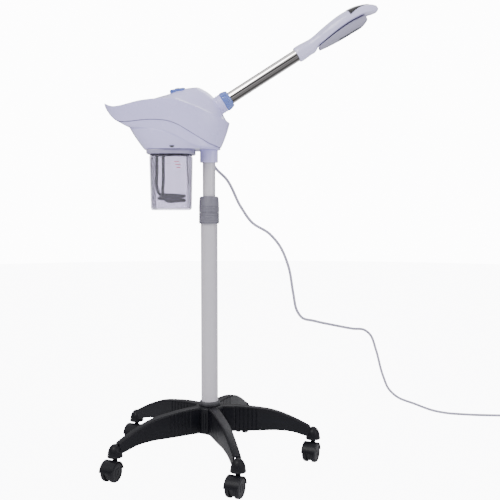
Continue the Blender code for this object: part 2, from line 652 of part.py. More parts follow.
def build_lower_shell(finish, head):
    """The white boiler bowl with its beak floor, jar opening and pole socket."""
    angle = around(HEAD_SEGMENTS)

    def wall(inset):
        rim = lip_ring(LIP_GROOVE + inset, LIP_GAP)
        x, y = oval(angle, KNEE_CENTRE, KNEE_HALF_LENGTH - inset, KNEE_HALF_WIDTH - inset, 2.3)
        knee = np.stack([x, y, through(KNEE_LINE, x) + 0.9 * inset], axis=1)
        x, y = oval(angle, FLOOR_CENTRE, FLOOR_HALF_LENGTH - inset, FLOOR_HALF_WIDTH - inset, 3.0)
        floor = np.stack([x, y, np.full(HEAD_SEGMENTS, BOTTOM_HEIGHT + 0.0002)], axis=1)
        strip = between(rim, knee, 0.5, 0.010, KNEE_CENTRE)
        strip[:, 2] -= 0.0012
        bowl = [between(knee, floor, share, 0.020, FLOOR_CENTRE) for share in (0.35, 0.7)]
        return [rim, strip, knee, *bowl, floor]

    hole = np.stack([JAR_X + CAVITY_RADIUS * np.cos(angle), CAVITY_RADIUS * np.sin(angle)], axis=1)
    outer = wall(0.0)
    inner = wall(SHELL_WALL)
    inner[-1][:, 2] += SHELL_WALL
    inner[-2][:, 2] += SHELL_WALL * 0.9
    rings = outer + [at_height(hole, BOTTOM_HEIGHT + 0.0002)]
    rings += [at_height(hole, BOTTOM_HEIGHT + SHELL_WALL)] + inner[::-1]
    shell = skin("lower_shell", rings, finish["shell"], head, loop=True)
    profile = [(0.0, 0.0), (SOCKET_RADIUS - 0.001, 0.0), (SOCKET_RADIUS, 0.001), (SOCKET_RADIUS, BOTTOM_HEIGHT)]
    profile += [(SPIGOT_RADIUS, BOTTOM_HEIGHT + SHELL_WALL / 2), (SPIGOT_RADIUS, SOCKET_TOP), (0.0, SOCKET_TOP)]
    join(shell, turned("pole_socket_form", profile, None, head))
    bore = MAST_RADIUS + GAP
    through_hole = [(0.0, -0.01), (bore, -0.01), (bore, SOCKET_TOP + 0.02), (0.0, SOCKET_TOP + 0.02)]
    cut(shell, turned("pole_socket_cut", through_hole, None, head))
    return shell


# ================================ Jar and boiler ===============================================
def build_jar(finish, head, jar_axis):
    """The ring under the head and the clear water jar that twists into it."""
    count = 32
    ring_outline = rounded_square(JAR_RING_HALF_WIDTH, JAR_RING_CORNER, count)
    angle = around(count) + math.pi / count
    unit = np.stack([np.cos(angle), np.sin(angle)], axis=1)
    bore = unit * CAVITY_RADIUS
    flange = unit * (JAR_NECK_RADIUS + GAP)
    seat = RING_FOOT + JAR_FLANGE_HEIGHT
    top = RING_FOOT + JAR_RING_HEIGHT
    centre = (JAR_X, 0.0)
    rings = [at_height(flange, RING_FOOT, centre), at_height(ring_outline * 0.975, RING_FOOT, centre),
             at_height(ring_outline, RING_FOOT + 0.002, centre), at_height(ring_outline, top, centre),
             at_height(bore, top, centre), at_height(bore, seat, centre), at_height(flange, seat, centre)]
    ring = skin("jar_ring", rings, finish["ring"], head, loop=True)
    for k in range(2):
        slot_angle = math.radians(90 + 180 * k - 25)
        slot = box(f"lug_slot_{k}_cut", (0.0, 0.0, 0.0), (2.4 * JAR_LUG, 0.014, 0.02), None, head)
        slot.location = (JAR_X + JAR_NECK_RADIUS * math.cos(slot_angle),
                         JAR_NECK_RADIUS * math.sin(slot_angle), RING_FOOT - 0.005)
        slot.rotation_euler = (0.0, 0.0, slot_angle)
        cut(ring, slot)

    foot = JAR_SHOULDER - JAR_HEIGHT
    lower = rounded_square(JAR_HALF_WIDTH - JAR_DRAFT, JAR_CORNER, count)
    upper = rounded_square(JAR_HALF_WIDTH, JAR_CORNER, count)
    inner_low = rounded_square(JAR_HALF_WIDTH - JAR_DRAFT - JAR_WALL, JAR_CORNER - JAR_WALL, count)
    inner_high = rounded_square(JAR_HALF_WIDTH - JAR_WALL, JAR_CORNER - JAR_WALL, count)
    neck = unit * JAR_NECK_RADIUS
    mouth = unit * (JAR_NECK_RADIUS - JAR_WALL)
    floor = foot + 1.2 * JAR_WALL
    rings = [at_height(lower * 0.90, foot), at_height(lower * 0.965, foot + 0.0012),
             at_height(lower, foot + 0.005), at_height(upper, JAR_SHOULDER - 0.006),
             at_height(upper * 0.97, JAR_SHOULDER - 0.001),
             at_height(neck, JAR_SHOULDER), at_height(neck, JAR_MOUTH), at_height(mouth, JAR_MOUTH),
             at_height(mouth, JAR_SHOULDER - JAR_WALL),
             at_height(inner_high * 0.97, JAR_SHOULDER - 0.001 - JAR_WALL),
             at_height(inner_high, JAR_SHOULDER - 0.006 - JAR_WALL), at_height(inner_low, floor + 0.004),
             at_height(inner_low * 0.93, floor)]
    jar = skin("jar", rings, finish["jar"], jar_axis)
    for k in range(2):
        lug_angle = math.radians(90 + 180 * k)
        lug = box(f"lug_{k}_form", (0.0, 0.0, 0.0), (2 * JAR_LUG - 2 * GAP, 0.010, 0.003), None, jar_axis)
        lug.location = (JAR_NECK_RADIUS * math.cos(lug_angle), JAR_NECK_RADIUS * math.sin(lug_angle),
                        seat + GAP + 0.0015)
        lug.rotation_euler = (0.0, 0.0, lug_angle)
        join(jar, lug)


def element_path():
    """The heating tube: down one leg, round a flat coil and back up the other leg."""
    top = PLATE_TOP + ELEMENT_TOP
    coil_top = PLATE_FOOT - COIL_DEPTH
    turns = np.linspace(COIL_START, COIL_START + COIL_SWEEP, 26)
    drop = COIL_PITCH * (turns - turns[0]) / (2 * math.pi)
    coil = np.stack([COIL_RADIUS * np.cos(turns), COIL_RADIUS * np.sin(turns), coil_top - drop], axis=1)
    outer_leg = -COIL_RADIUS - 0.0030
    inner_leg = 0.0090 - COIL_RADIUS
    down = [(outer_leg, -0.006, top), (outer_leg, -0.006, coil_top + 0.05)]
    down += [(outer_leg, -0.0065, coil_top + 0.014)]
    up = [(inner_leg - 0.0008, 0.0085, coil[-1][2] + 0.012), (inner_leg, 0.006, coil_top + 0.03)]
    up += [(inner_leg, 0.006, top)]
    entry = spline([*down, coil[0], coil[1]], 12)
    leave = spline([coil[-2], coil[-1], *up], 12)
    return np.array([*entry[:-2], *coil[1:-1], *leave[1:]])


def build_boiler(finish, head):
    """The sealing gasket, the boiler plate and what hangs from it into the jar."""
    boiler = make_empty("boiler_axis", (JAR_X, 0.0, 0.0), head)
    tube("jar_gasket", JAR_NECK_RADIUS, JAR_NECK_RADIUS - JAR_WALL, GASKET_FOOT, GASKET_FOOT + GASKET_HEIGHT,
         finish["rubber"], boiler)
    plate = turned("boiler_plate", [(0.0, PLATE_FOOT), (PLATE_RADIUS, PLATE_FOOT), (PLATE_RADIUS, PLATE_TOP),
                                    (0.0, PLATE_TOP)], finish["plate"], boiler)
    path = element_path()
    rings = swept_rings(path, np.full(len(path), ELEMENT_RADIUS), 8)
    skin("heating_element", rings, finish["steel"], boiler)
    probe_x = JAR_HALF_WIDTH - JAR_WALL - 0.0094
    probe_path = [(probe_x, 0.0, PLATE_TOP + ELEMENT_TOP), (probe_x + 0.0052, 0.0, PLATE_FOOT - PROBE_LENGTH)]
    skin("level_probe", swept_rings(probe_path, np.full(2, PROBE_RADIUS), 8), finish["steel"], boiler)

    holes = {"steam": (0.0, 0.0, STEAM_HOLE_RADIUS),
             "leg_a": (path[0][0], path[0][1], ELEMENT_RADIUS + GAP),
             "leg_b": (path[-1][0], path[-1][1], ELEMENT_RADIUS + GAP),
             "probe": (probe_x + 0.0006, 0.0, PROBE_RADIUS + 0.0012)}
    for name, (x, y, radius) in holes.items():
        drill = turned(f"plate_{name}_cut", [(0.0, PLATE_FOOT - 0.004), (radius, PLATE_FOOT - 0.004),
                       (radius, PLATE_TOP + 0.004), (0.0, PLATE_TOP + 0.004)], None, boiler, segments=20)
        drill.location = (x, y, 0.0)
        cut(plate, drill)

    disc = STEAM_HOLE_RADIUS - GAP
    sieve = [(0.0, PLATE_FOOT + 0.001), (disc, PLATE_FOOT + 0.001), (disc, PLATE_TOP - 0.001)]
    sieve += [(0.0, PLATE_TOP - 0.001)]
    splash = turned("splash_filter", sieve, finish["steel"], boiler)
    for k in range(5):
        drill = turned(f"splash_{k}_cut", [(0.0, PLATE_FOOT - 0.004), (0.0019, PLATE_FOOT - 0.004),
                       (0.0019, PLATE_TOP + 0.004), (0.0, PLATE_TOP + 0.004)], None, boiler, segments=10)
        drill.location = (0.0056 * math.cos(k * 0.4 * math.pi), 0.0056 * math.sin(k * 0.4 * math.pi), 0.0)
        cut(splash, drill)

    base_height = PLATE_TOP + GAP
    arm = np.array([math.cos(ARM_ANGLE), 0.0, math.sin(ARM_ANGLE)])
    mouth = np.array([-JAR_X, 0.0, ARM_HEIGHT]) + arm * (NECK_START - GAP)
    route = [(0.0, 0.0, base_height), (0.0, 0.0, base_height + 0.02), (0.013, 0.0, base_height + 0.046),
             tuple(mouth - arm * 0.034), tuple(mouth - arm * 0.012), tuple(mouth)]
    path = spline(route, 12)
    path[1][:2] = 0.0
    outer = swept_rings(path, np.full(12, DUCT_RADIUS), 14)
    inner = swept_rings(path, np.full(12, DUCT_RADIUS - DUCT_WALL), 14)
    skin("steam_duct", outer + inner[::-1], finish["duct"], boiler, loop=True)
    can = [(0.0, 0.0), (CUTOUT_RADIUS, 0.0), (CUTOUT_RADIUS, 0.004), (CUTOUT_RADIUS * 0.7, 0.0045)]
    can += [(CUTOUT_RADIUS * 0.7, 0.009), (0.0, 0.009)]
    stat = turned("thermal_cutout", can, finish["steel"], boiler, segments=20)
    stat.location = (SIDE_PLACE[0], SIDE_PLACE[1], PLATE_TOP + GAP)
    lamp = [(0.0, 0.0), (LAMP_TUBE_RADIUS * 0.7, 0.0), (LAMP_TUBE_RADIUS, 0.004)]
    lamp += [(LAMP_TUBE_RADIUS, LAMP_TUBE_LENGTH - 0.005), (LAMP_TUBE_RADIUS * 0.6, LAMP_TUBE_LENGTH - 0.0005)]
    lamp += [(0.0, LAMP_TUBE_LENGTH)]
    ozone = turned("ozone_lamp", lamp, finish["lamp"], boiler, segments=16)
    ozone.location = (SIDE_PLACE[0], -SIDE_PLACE[1], PLATE_TOP + GAP)


# ================================ Controls =====================================================
def panel_place():
    """The control panel's own frame on the hump."""
    return (PANEL_X, 0.0, PANEL_TOP), (0.0, -PANEL_TILT, 0.0)


def panel_slab(name, clearance, material, head):
    """The control panel's rounded slab, grown by a clearance for its pocket."""
    angle = around(32) + math.pi / 32
    x, y = oval(angle, 0.0, PANEL_LENGTH / 2 + clearance, PANEL_WIDTH / 2 + clearance, 5.0)
    outline = np.stack([x, y], axis=1)
    low = -PANEL_THICKNESS - clearance
    top = 0.004 if clearance else 0.0
    rings = [at_height(outline, low), at_height(outline, top - 0.0012), at_height(outline * 0.955, top)]
    slab = skin(name, rings, material, head)
    slab.location, slab.rotation_euler = panel_place()
    return slab


def build_electronics(finish, panel_axis):
    """The circuit board on posts under the panel, its two switches and the power module below it."""
    top = -PANEL_THICKNESS - BOARD_DROP
    board = box("circuit_board", (0.0, 0.0, top - BOARD_SIZE[2] / 2), BOARD_SIZE, finish["board"], panel_axis)
    for along in (-1, 1):
        for side in (-1, 1):
            post = [(0.0, top - 0.001), (0.002, top - 0.001), (0.002, -PANEL_THICKNESS - GAP)]
            post += [(0.0, -PANEL_THICKNESS - GAP)]
            form = turned(f"post_{along + 1}{side + 1}_form", post, None, panel_axis, segments=12)
            form.location = (along * PANEL_LENGTH * 0.30, side * PANEL_WIDTH * 0.22, 0.0)
            join(board, form)
    switch_top = BUTTON_RISE - BUTTON_LENGTH - BUTTON_TRAVEL - GAP
    for side in (-1, 1):
        middle = (0.0, side * BUTTON_SPACING / 2, (switch_top + top - 0.001) / 2)
        size = (0.006, 0.006, switch_top - top + 0.001)
        join(board, box(f"switch_{side + 1}_form", middle, size, None, panel_axis))
    under = top - BOARD_SIZE[2] - GAP - MODULE_SIZE[2] / 2
    box("power_module", (MODULE_X, 0.0, under), MODULE_SIZE, finish["board"], panel_axis)


def build_controls(finish, head, press_axes):
    """The blue control panel with two push buttons and a lamp between them."""
    panel = panel_slab("control_panel", 0.0, finish["blue"], head)
    for (name, axis), side in zip(press_axes.items(), (-1, 1)):
        cap = [(0.0, BUTTON_RISE - BUTTON_LENGTH), (BUTTON_RADIUS, BUTTON_RISE - BUTTON_LENGTH)]
        cap += [(BUTTON_RADIUS, BUTTON_RISE - 0.001), (BUTTON_RADIUS - 0.001, BUTTON_RISE), (0.0, BUTTON_RISE)]
        turned(name, cap, finish["button"], axis)
        bore = BUTTON_RADIUS + GAP
        drill = turned(f"{name}_hole_cut", [(0.0, -0.02), (bore, -0.02), (bore, 0.01), (0.0, 0.01)], None, panel)
        drill.location = (0.0, side * BUTTON_SPACING / 2, 0.0)
        cut(panel, drill)
    drill = turned("indicator_hole_cut", [(0.0, -0.02), (LAMP_RADIUS + GAP, -0.02), (LAMP_RADIUS + GAP, 0.01),
                                          (0.0, 0.01)], None, panel, segments=16)
    cut(panel, drill)
    lens = [(0.0, -0.005), (LAMP_RADIUS, -0.005), (LAMP_RADIUS, 0.0), (LAMP_RADIUS * 0.6, 0.0008), (0.0, 0.001)]
    lamp = turned("indicator_lens", lens, finish["lens"], head, segments=16)
    lamp.location, lamp.rotation_euler = panel_place()


# ================================ Arm and spray head ===========================================
def build_arm(finish, arm, nut_axis, tube_axis):
    """The threaded neck, the lobed nut with its seal, and the chrome steam tube."""
    bore = TUBE_RADIUS + GAP
    pocket = NECK_THREAD_RADIUS - 0.0012
    end = NECK_END + NECK_THREAD_LENGTH
    flange = NECK_RADIUS + NECK_FLANGE
    neck = [(bore, NECK_START), (flange, NECK_START), (flange, NECK_START + 0.004)]
    neck += [(NECK_RADIUS, NECK_START + 0.004)]
    neck += [(NECK_RADIUS, NECK_END - GAP), (NECK_THREAD_RADIUS, NECK_END - GAP), (NECK_THREAD_RADIUS, end)]
    neck += [(pocket, end), (pocket, end - SEAL_LENGTH - GAP), (bore, end - SEAL_LENGTH - GAP)]
    turned("arm_neck", neck, finish["shell"], arm, hollow=True, along="x")
    tube("tube_seal", pocket - GAP, bore, end - SEAL_LENGTH, end - GAP, finish["rubber"], arm, along="x")

    angle = around(ARM_NUT_LOBES * 6)
    lobes = 0.5 + 0.5 * np.cos(ARM_NUT_LOBES * angle)
    groove = 0.0016 * (1 - np.clip(lobes * 3.2, 0, 1))
    nut_end = NECK_END + ARM_NUT_LENGTH
    rings = []
    shape = [(ARM_NUT_RADIUS - 0.0008, 0.0), (ARM_NUT_RADIUS, 0.12), (ARM_NUT_RADIUS - 0.0003, 0.5),
             (ARM_NUT_END_RADIUS + 0.0015, 0.85), (ARM_NUT_END_RADIUS, 1.0)]
    for radius, share in shape:
        ring = radius - groove
        along = np.full(len(angle), NECK_END + share * ARM_NUT_LENGTH)
        rings.append(np.stack([along, ring * np.cos(angle), ring * np.sin(angle)], axis=1))
    clear = NECK_THREAD_RADIUS + GAP
    for radius, along in ((bore, nut_end), (bore, end + GAP), (clear, end + GAP), (clear, NECK_END)):
        flat = np.full(len(angle), along)
        rings.append(np.stack([flat, radius * np.cos(angle), radius * np.sin(angle)], axis=1))
    skin("arm_nut", rings, finish["blue"], nut_axis, loop=True)
    tube("steam_tube", TUBE_RADIUS, TUBE_RADIUS - TUBE_WALL, TUBE_START, TUBE_END, finish["chrome"], tube_axis,
         along="x")


SPRAY_TOP = [(0.0, SPRAY_COLLAR), (0.006, SPRAY_COLLAR + 0.0007), (0.012, SPRAY_COLLAR + 0.0005),
             (0.026, 0.0157), (0.040, 0.0146), (0.054, 0.0156), (0.070, 0.0182), (0.088, 0.0205),
             (0.107, 0.0224), (0.122, 0.0229), (0.134, 0.0222), (0.158, 0.0182), (0.172, 0.0133),
             (0.182, 0.0088), (0.190, 0.0040), (0.1965, -0.0020)]
SPRAY_EDGE = [(0.0, -SPRAY_COLLAR), (0.006, -SPRAY_COLLAR - 0.0007), (0.012, -SPRAY_COLLAR - 0.0005),
              (0.026, -0.0160), (0.038, -0.0154), (0.046, -0.0110), (0.064, -0.0082), (0.086, -0.0062),
              (0.108, -0.0046), (0.126, -0.0042), (0.143, -0.0052), (0.159, -0.0062), (0.174, -0.0096),
              (0.184, -0.0130), (0.192, -0.0140), (0.1965, -0.0112)]
SPRAY_WIDTH = [(0.0, SPRAY_COLLAR), (0.006, SPRAY_COLLAR + 0.0007), (0.012, SPRAY_COLLAR + 0.0005),
               (0.026, 0.0158), (0.040, 0.0160), (0.054, 0.0192), (0.070, 0.0245), (0.088, 0.0292),
               (0.107, 0.0320), (0.126, 0.0330), (0.143, 0.0322), (0.159, 0.0292), (0.172, 0.0240),
               (0.184, 0.0172), (0.192, 0.0108), (0.1965, 0.0050)]
MODULE_FOOT = [(0.046, -0.0175), (0.060, -0.0189), (0.080, -0.0206), (0.106, -0.0222), (0.130, -0.0229),
               (0.154, -0.0226), (0.162, -0.0200)]
MODULE_WIDTH = [(0.046, 0.0100), (0.056, 0.0170), (0.073, 0.0232), (0.090, 0.0272), (0.110, 0.0292),
                (0.132, 0.0290), (0.150, 0.0262), (0.162, 0.0222)]
WINDOW_REACH = (0.135, 0.184)
WINDOW_SPREAD = [(0.0, 0.975), (0.25, 0.93), (0.5, 0.86), (0.75, 0.72), (1.0, 0.45)]


def spray_section(reach, inset, drop):
    """One closed section of the spray head's cover: a dome over a flatter lower edge."""
    angle = around(SPRAY_SEGMENTS)
    top = float(through(SPRAY_TOP, reach)) - inset
    edge = float(through(SPRAY_EDGE, reach)) + inset - drop
    width = float(through(SPRAY_WIDTH, reach)) - inset
    body = min(max((reach - 0.036) / 0.03, 0.0), 1.0)
    middle = (top + edge) / 2 * (1 - body) + (edge + 0.0035) * body
    cos, sin = np.cos(angle), np.sin(angle)
    power = 2.0 + 0.5 * body
    across = width * signed_power(cos, 2 / power)
    up = np.where(sin > 0, (top - middle) * signed_power(sin, 2 / power),
                  (middle - edge) * signed_power(sin, 2 / (power + 1.5 * body)))
    return np.stack([np.full(SPRAY_SEGMENTS, SPRAY_START + reach), across, middle + up], axis=1)


def module_section(reach, inset, roof):
    """One section of the nozzle module under the spray head."""
    angle = around(SPRAY_SEGMENTS) + math.pi / SPRAY_SEGMENTS
    foot = float(through(MODULE_FOOT, reach)) + inset
    top = float(through(SPRAY_EDGE, reach)) - GAP * 2.2 + roof
    width = min(float(through(MODULE_WIDTH, reach)), float(through(SPRAY_WIDTH, reach)) - 0.002) - inset
    across = width * signed_power(np.cos(angle), 2 / 4.0)
    up = (top + foot) / 2 + (top - foot) / 2 * signed_power(np.sin(angle), 2 / 5.0)
    return np.stack([np.full(SPRAY_SEGMENTS, SPRAY_START + reach), across, up], axis=1)


def build_spray_head(finish, spray):
    """The spray head: upper cover, nozzle module, outlet grille and dark window."""
    stations = [0.0, 0.0015, 0.008, 0.026, 0.036, 0.046, 0.056, 0.072, 0.092, 0.112, 0.132, 0.150,
                0.166, 0.178, 0.188, 0.1962]
    cover = skin("spray_cover", [spray_section(s, 0.0008 if s == 0.0 else 0.0, 0.0) for s in stations],
                 finish["spray"], spray)
    hollow = [0.056, 0.072, 0.092, 0.112, 0.132, 0.155]
    sections = [spray_section(s, SPRAY_WALL, SPRAY_WALL + 0.004) for s in hollow]
    cut(cover, skin("spray_cavity_cut", sections, None, spray))
    socket = TUBE_END + GAP
    bore = [(0.0, SPRAY_START - 0.01), (TUBE_RADIUS + GAP, SPRAY_START - 0.01), (TUBE_RADIUS + GAP, socket)]
    bore += [(SPRAY_DUCT_RADIUS, socket), (SPRAY_DUCT_RADIUS, SPRAY_START + 0.062), (0.0, SPRAY_START + 0.062)]
    cut(cover, turned("spray_bore_cut", bore, None, spray, along="x"))

    reaches = [0.0475, 0.060, 0.078, 0.100, 0.124, 0.146, 0.158, 0.162]
    module = skin("nozzle_module", [module_section(s, 0.0, 0.0) for s in reaches], finish["module"], spray)
    inside = [0.064, 0.084, 0.110, 0.136, 0.154]
    cut(module, skin("module_cavity_cut", [module_section(s, SPRAY_WALL, 0.006) for s in inside], None, spray))
    middle = SPRAY_START + 0.118
    size = (GRILLE_LENGTH + 2 * GAP, GRILLE_WIDTH + 2 * GAP, 0.02)
    cut(module, box("outlet_cut", (middle, 0.0, -0.024), size, None, spray))

    level = -0.0210
    grille = box("outlet_grille", (middle, 0.0, level), (GRILLE_LENGTH, GRILLE_WIDTH, GRILLE_THICKNESS),
                 finish["grille"], spray)
    pitch = GRILLE_LENGTH / (GRILLE_BARS + 1)
    for k in range(GRILLE_BARS):
        place = middle + (k - (GRILLE_BARS - 1) / 2) * pitch
        size = (pitch * 0.55, GRILLE_WIDTH * 0.8, 0.02)
        cut(grille, box(f"slot_{k}_cut", (place, 0.0, level), size, None, spray))

    start, finish_at = WINDOW_REACH
    low, high = [], []
    for share in np.linspace(0.0, 1.0, 8):
        reach = start + (finish_at - start) * share
        middle = float(through(SPRAY_EDGE, reach)) + 0.0035
        rise = float(through(SPRAY_TOP, reach)) - middle
        corner = math.acos(float(through(WINDOW_SPREAD, share)) ** 1.25)
        angle = np.linspace(corner, math.pi - corner, 13)
        for grown, rows in ((2 * GAP, low), (2 * GAP + WINDOW_THICKNESS, high)):
            across = (float(through(SPRAY_WIDTH, reach)) + grown) * signed_power(np.cos(angle), 0.8)
            up = middle + (rise + grown) * np.sin(angle) ** 0.8
            rows.append(np.stack([np.full(13, SPRAY_START + reach), across, up], axis=1))
    rings = [np.concatenate([a, b[::-1]]) for a, b in zip(low, high)]
    skin("spray_window", rings, finish["window"], spray)


# ================================ Supply cord ==================================================
CORD_ROUTE = [(0.035, 0.048, 0.615), (0.067, 0.058, 0.553), (0.091, 0.068, 0.519), (0.130, 0.086, 0.493),
              (0.153, 0.102, 0.466), (0.175, 0.121, 0.415), (0.187, 0.135, 0.350), (0.196, 0.146, 0.309),
              (0.208, 0.158, 0.291), (0.239, 0.182, 0.279), (0.294, 0.228, 0.261), (0.341, 0.273, 0.246),
              (0.377, 0.311, 0.236), (0.395, 0.332, 0.219), (0.412, 0.353, 0.177), (0.435, 0.375, 0.102),
              (0.452, 0.384, 0.065), (0.474, 0.389, 0.044), (0.522, 0.392, 0.024), (0.570, 0.385, 0.008)]
CORD_ON_FLOOR = [(0.612, 0.372), (0.668, 0.360), (0.730, 0.355)]


def relief_path():
    """The strain relief's centre line, from the head's floor out towards the right and down."""
    foot = np.array([-0.006, 0.036, BOTTOM_HEIGHT - GAP])
    heading = np.array([0.50, 0.06, -0.864])
    heading /= np.linalg.norm(heading)
    bend = foot + (0.0, 0.0, -0.006)
    return spline([tuple(foot), tuple(bend), tuple(bend + heading * (RELIEF_LENGTH - 0.006))], 8), heading


def build_cord(finish, head, swivel):
    """The supply cord with its strain relief, its stored coil and its plug."""
    path, heading = relief_path()
    path[0][:2] = (-0.006, 0.036)
    radii = np.linspace(0.0062, CORD_RADIUS + 0.0008, 8)
    skin("strain_relief", swept_rings(path, radii, 16), finish["cord"], head)

    start = path[-1] + (0.0, 0.0, HEAD_Z) + heading * GAP
    floor = CORD_RADIUS + GAP
    middle = COIL_MIDDLE_RADIUS
    coil_x, coil_y = COIL_CENTRE
    clear = math.sqrt((middle + CORD_RADIUS) ** 2 - (middle - CORD_RADIUS) ** 2) + GAP
    boot_clear = math.sqrt((middle + CORD_RADIUS) ** 2 - (middle - PLUG_BOOT_RADIUS) ** 2) + GAP
    route = [tuple(start), tuple(start + heading * 0.012), *CORD_ROUTE]
    route += [(x, y, floor) for x, y in CORD_ON_FLOOR]
    route += [(coil_x - clear - 0.008, coil_y + middle, floor), (coil_x - clear, coil_y + middle, floor)]
    points = spline(route, 64)
    points[:, 2] = np.maximum(points[:, 2], floor)
    curve = bpy.data.curves.new("cord", "CURVE")
    curve.dimensions = "3D"
    curve.bevel_depth = CORD_RADIUS
    curve.bevel_resolution = 2
    curve.use_fill_caps = True
    strand = curve.splines.new("POLY")
    strand.points.add(len(points) - 1)
    for target, point in zip(strand.points, points):
        target.co = (*point, 1.0)
    cord = bpy.data.objects.new("cord", curve)
    cord.location = (0.0, 0.0, -HEAD_Z)
    cord.parent = head
    curve.materials.append(finish["cord"])
    bpy.context.collection.objects.link(cord)

    low, high = GAP, GAP + 2 * COIL_LAYERS * CORD_RADIUS
    bevel = CORD_RADIUS * 0.6
    inner, outer = middle - CORD_RADIUS, middle + CORD_RADIUS
    ring = [(inner + bevel, low), (outer - bevel, low), (outer, low + bevel), (outer, high - bevel)]
    ring += [(outer - bevel, high), (inner + bevel, high), (inner, high - bevel), (inner, low + bevel)]
    coil = turned("cord_coil", ring, finish["cord"], swivel, hollow=True, segments=24)
    coil.location = (coil_x, coil_y, 0.0)
    build_plug(finish, swivel, (coil_x + boot_clear, coil_y + middle, PLUG_THICKNESS / 2 + GAP))


def build_plug(finish, swivel, start):
    """A flat two-pin mains plug lying at the end of the cord."""
    seat = make_empty("plug_axis", start, swivel)
    angle = around(28) + math.pi / 28
    rings = []
    body = PLUG_BOOT + PLUG_LENGTH
    outline = [(0.0, PLUG_BOOT_RADIUS, PLUG_BOOT_RADIUS), (PLUG_BOOT * 0.9, 0.0062, 0.0058),
               (PLUG_BOOT + 0.002, 0.0085, 0.0063),
               (PLUG_BOOT + 0.010, PLUG_WIDTH / 2 - 0.001, PLUG_THICKNESS / 2),
               (body - 0.006, PLUG_WIDTH / 2, PLUG_THICKNESS / 2),
               (body - 0.001, PLUG_WIDTH / 2, PLUG_THICKNESS / 2),
               (body, PLUG_WIDTH / 2 - 0.001, PLUG_THICKNESS / 2 - 0.001)]
    for reach, half_width, half_height in outline:
        across, up = oval(angle, 0.0, half_width, half_height, 3.0)
        rings.append(np.stack([np.full(28, reach), across, up], axis=1))
    skin("plug_body", rings, finish["cord"], seat)
    for name, side in (("plug_pin_a", -1), ("plug_pin_b", 1)):
        pin = [(0.0, body + GAP), (PIN_RADIUS, body + GAP), (PIN_RADIUS, body + PIN_LENGTH - 0.001),
               (PIN_RADIUS * 0.6, body + PIN_LENGTH), (0.0, body + PIN_LENGTH)]
        blade = turned(name, pin, finish["brass"], seat, segments=14, along="x")
        blade.location = (0.0, side * PIN_SPACING / 2, 0.0)


# ================================ Assembly =====================================================
def make_finishes():
    """The object's materials, by the name of what they cover."""
    return {
        "base": make_material("base_black", (0.012, 0.012, 0.018), 0.42),
        "castor": make_material("castor_black", (0.014, 0.014, 0.020), 0.40),
        "wheel": make_material("wheel_black", (0.020, 0.020, 0.028), 0.48),
        "rubber": make_material("dark_rubber", (0.020, 0.020, 0.022), 0.70),
        "steel": make_material("steel", (0.55, 0.55, 0.57), 0.22, metallic=1.0),
        "pole": make_material("pole_silver", (0.60, 0.58, 0.64), 0.38),
        "mast": make_material("mast_silver", (0.56, 0.54, 0.59), 0.36),
        "collar": make_material("collar_grey", (0.22, 0.21, 0.26), 0.45),
        "nylon": make_material("nylon", (0.75, 0.75, 0.72), 0.55),
        "shell": make_material("shell_white", (0.62, 0.60, 0.74), 0.30),
        "ring": make_material("ring_white", (0.45, 0.43, 0.54), 0.35),
        "spray": make_material("spray_white", (0.70, 0.69, 0.80), 0.28),
        "module": make_material("module_grey", (0.23, 0.22, 0.29), 0.35),
        "grille": make_material("grille_grey", (0.16, 0.16, 0.20), 0.45),
        "window": make_material("window_black", (0.008, 0.008, 0.009), 0.08),
        "jar": make_material("jar_clear", (0.85, 0.84, 0.92), 0.06, alpha=0.4, transmission=0.9),
        "plate": make_material("plate_grey", (0.42, 0.41, 0.48), 0.50),
        "duct": make_material("duct_white", (0.70, 0.70, 0.70), 0.45),
        "blue": make_material("translucent_blue", (0.11, 0.20, 0.62), 0.18),
        "button": make_material("button_white", (0.75, 0.75, 0.80), 0.35),
        "lens": make_material("lens_green", (0.10, 0.55, 0.20), 0.15),
        "board": make_material("board_green", (0.04, 0.20, 0.09), 0.60),
        "lamp": make_material("lamp_glass", (0.80, 0.82, 0.95), 0.05, alpha=0.5),
        "chrome": make_material("chrome", (0.78, 0.78, 0.80), 0.06, metallic=1.0),
        "cord": make_material("cord_white", (0.74, 0.74, 0.78), 0.45),
        "brass": make_material("plated_brass", (0.62, 0.60, 0.55), 0.25, metallic=1.0),
    }


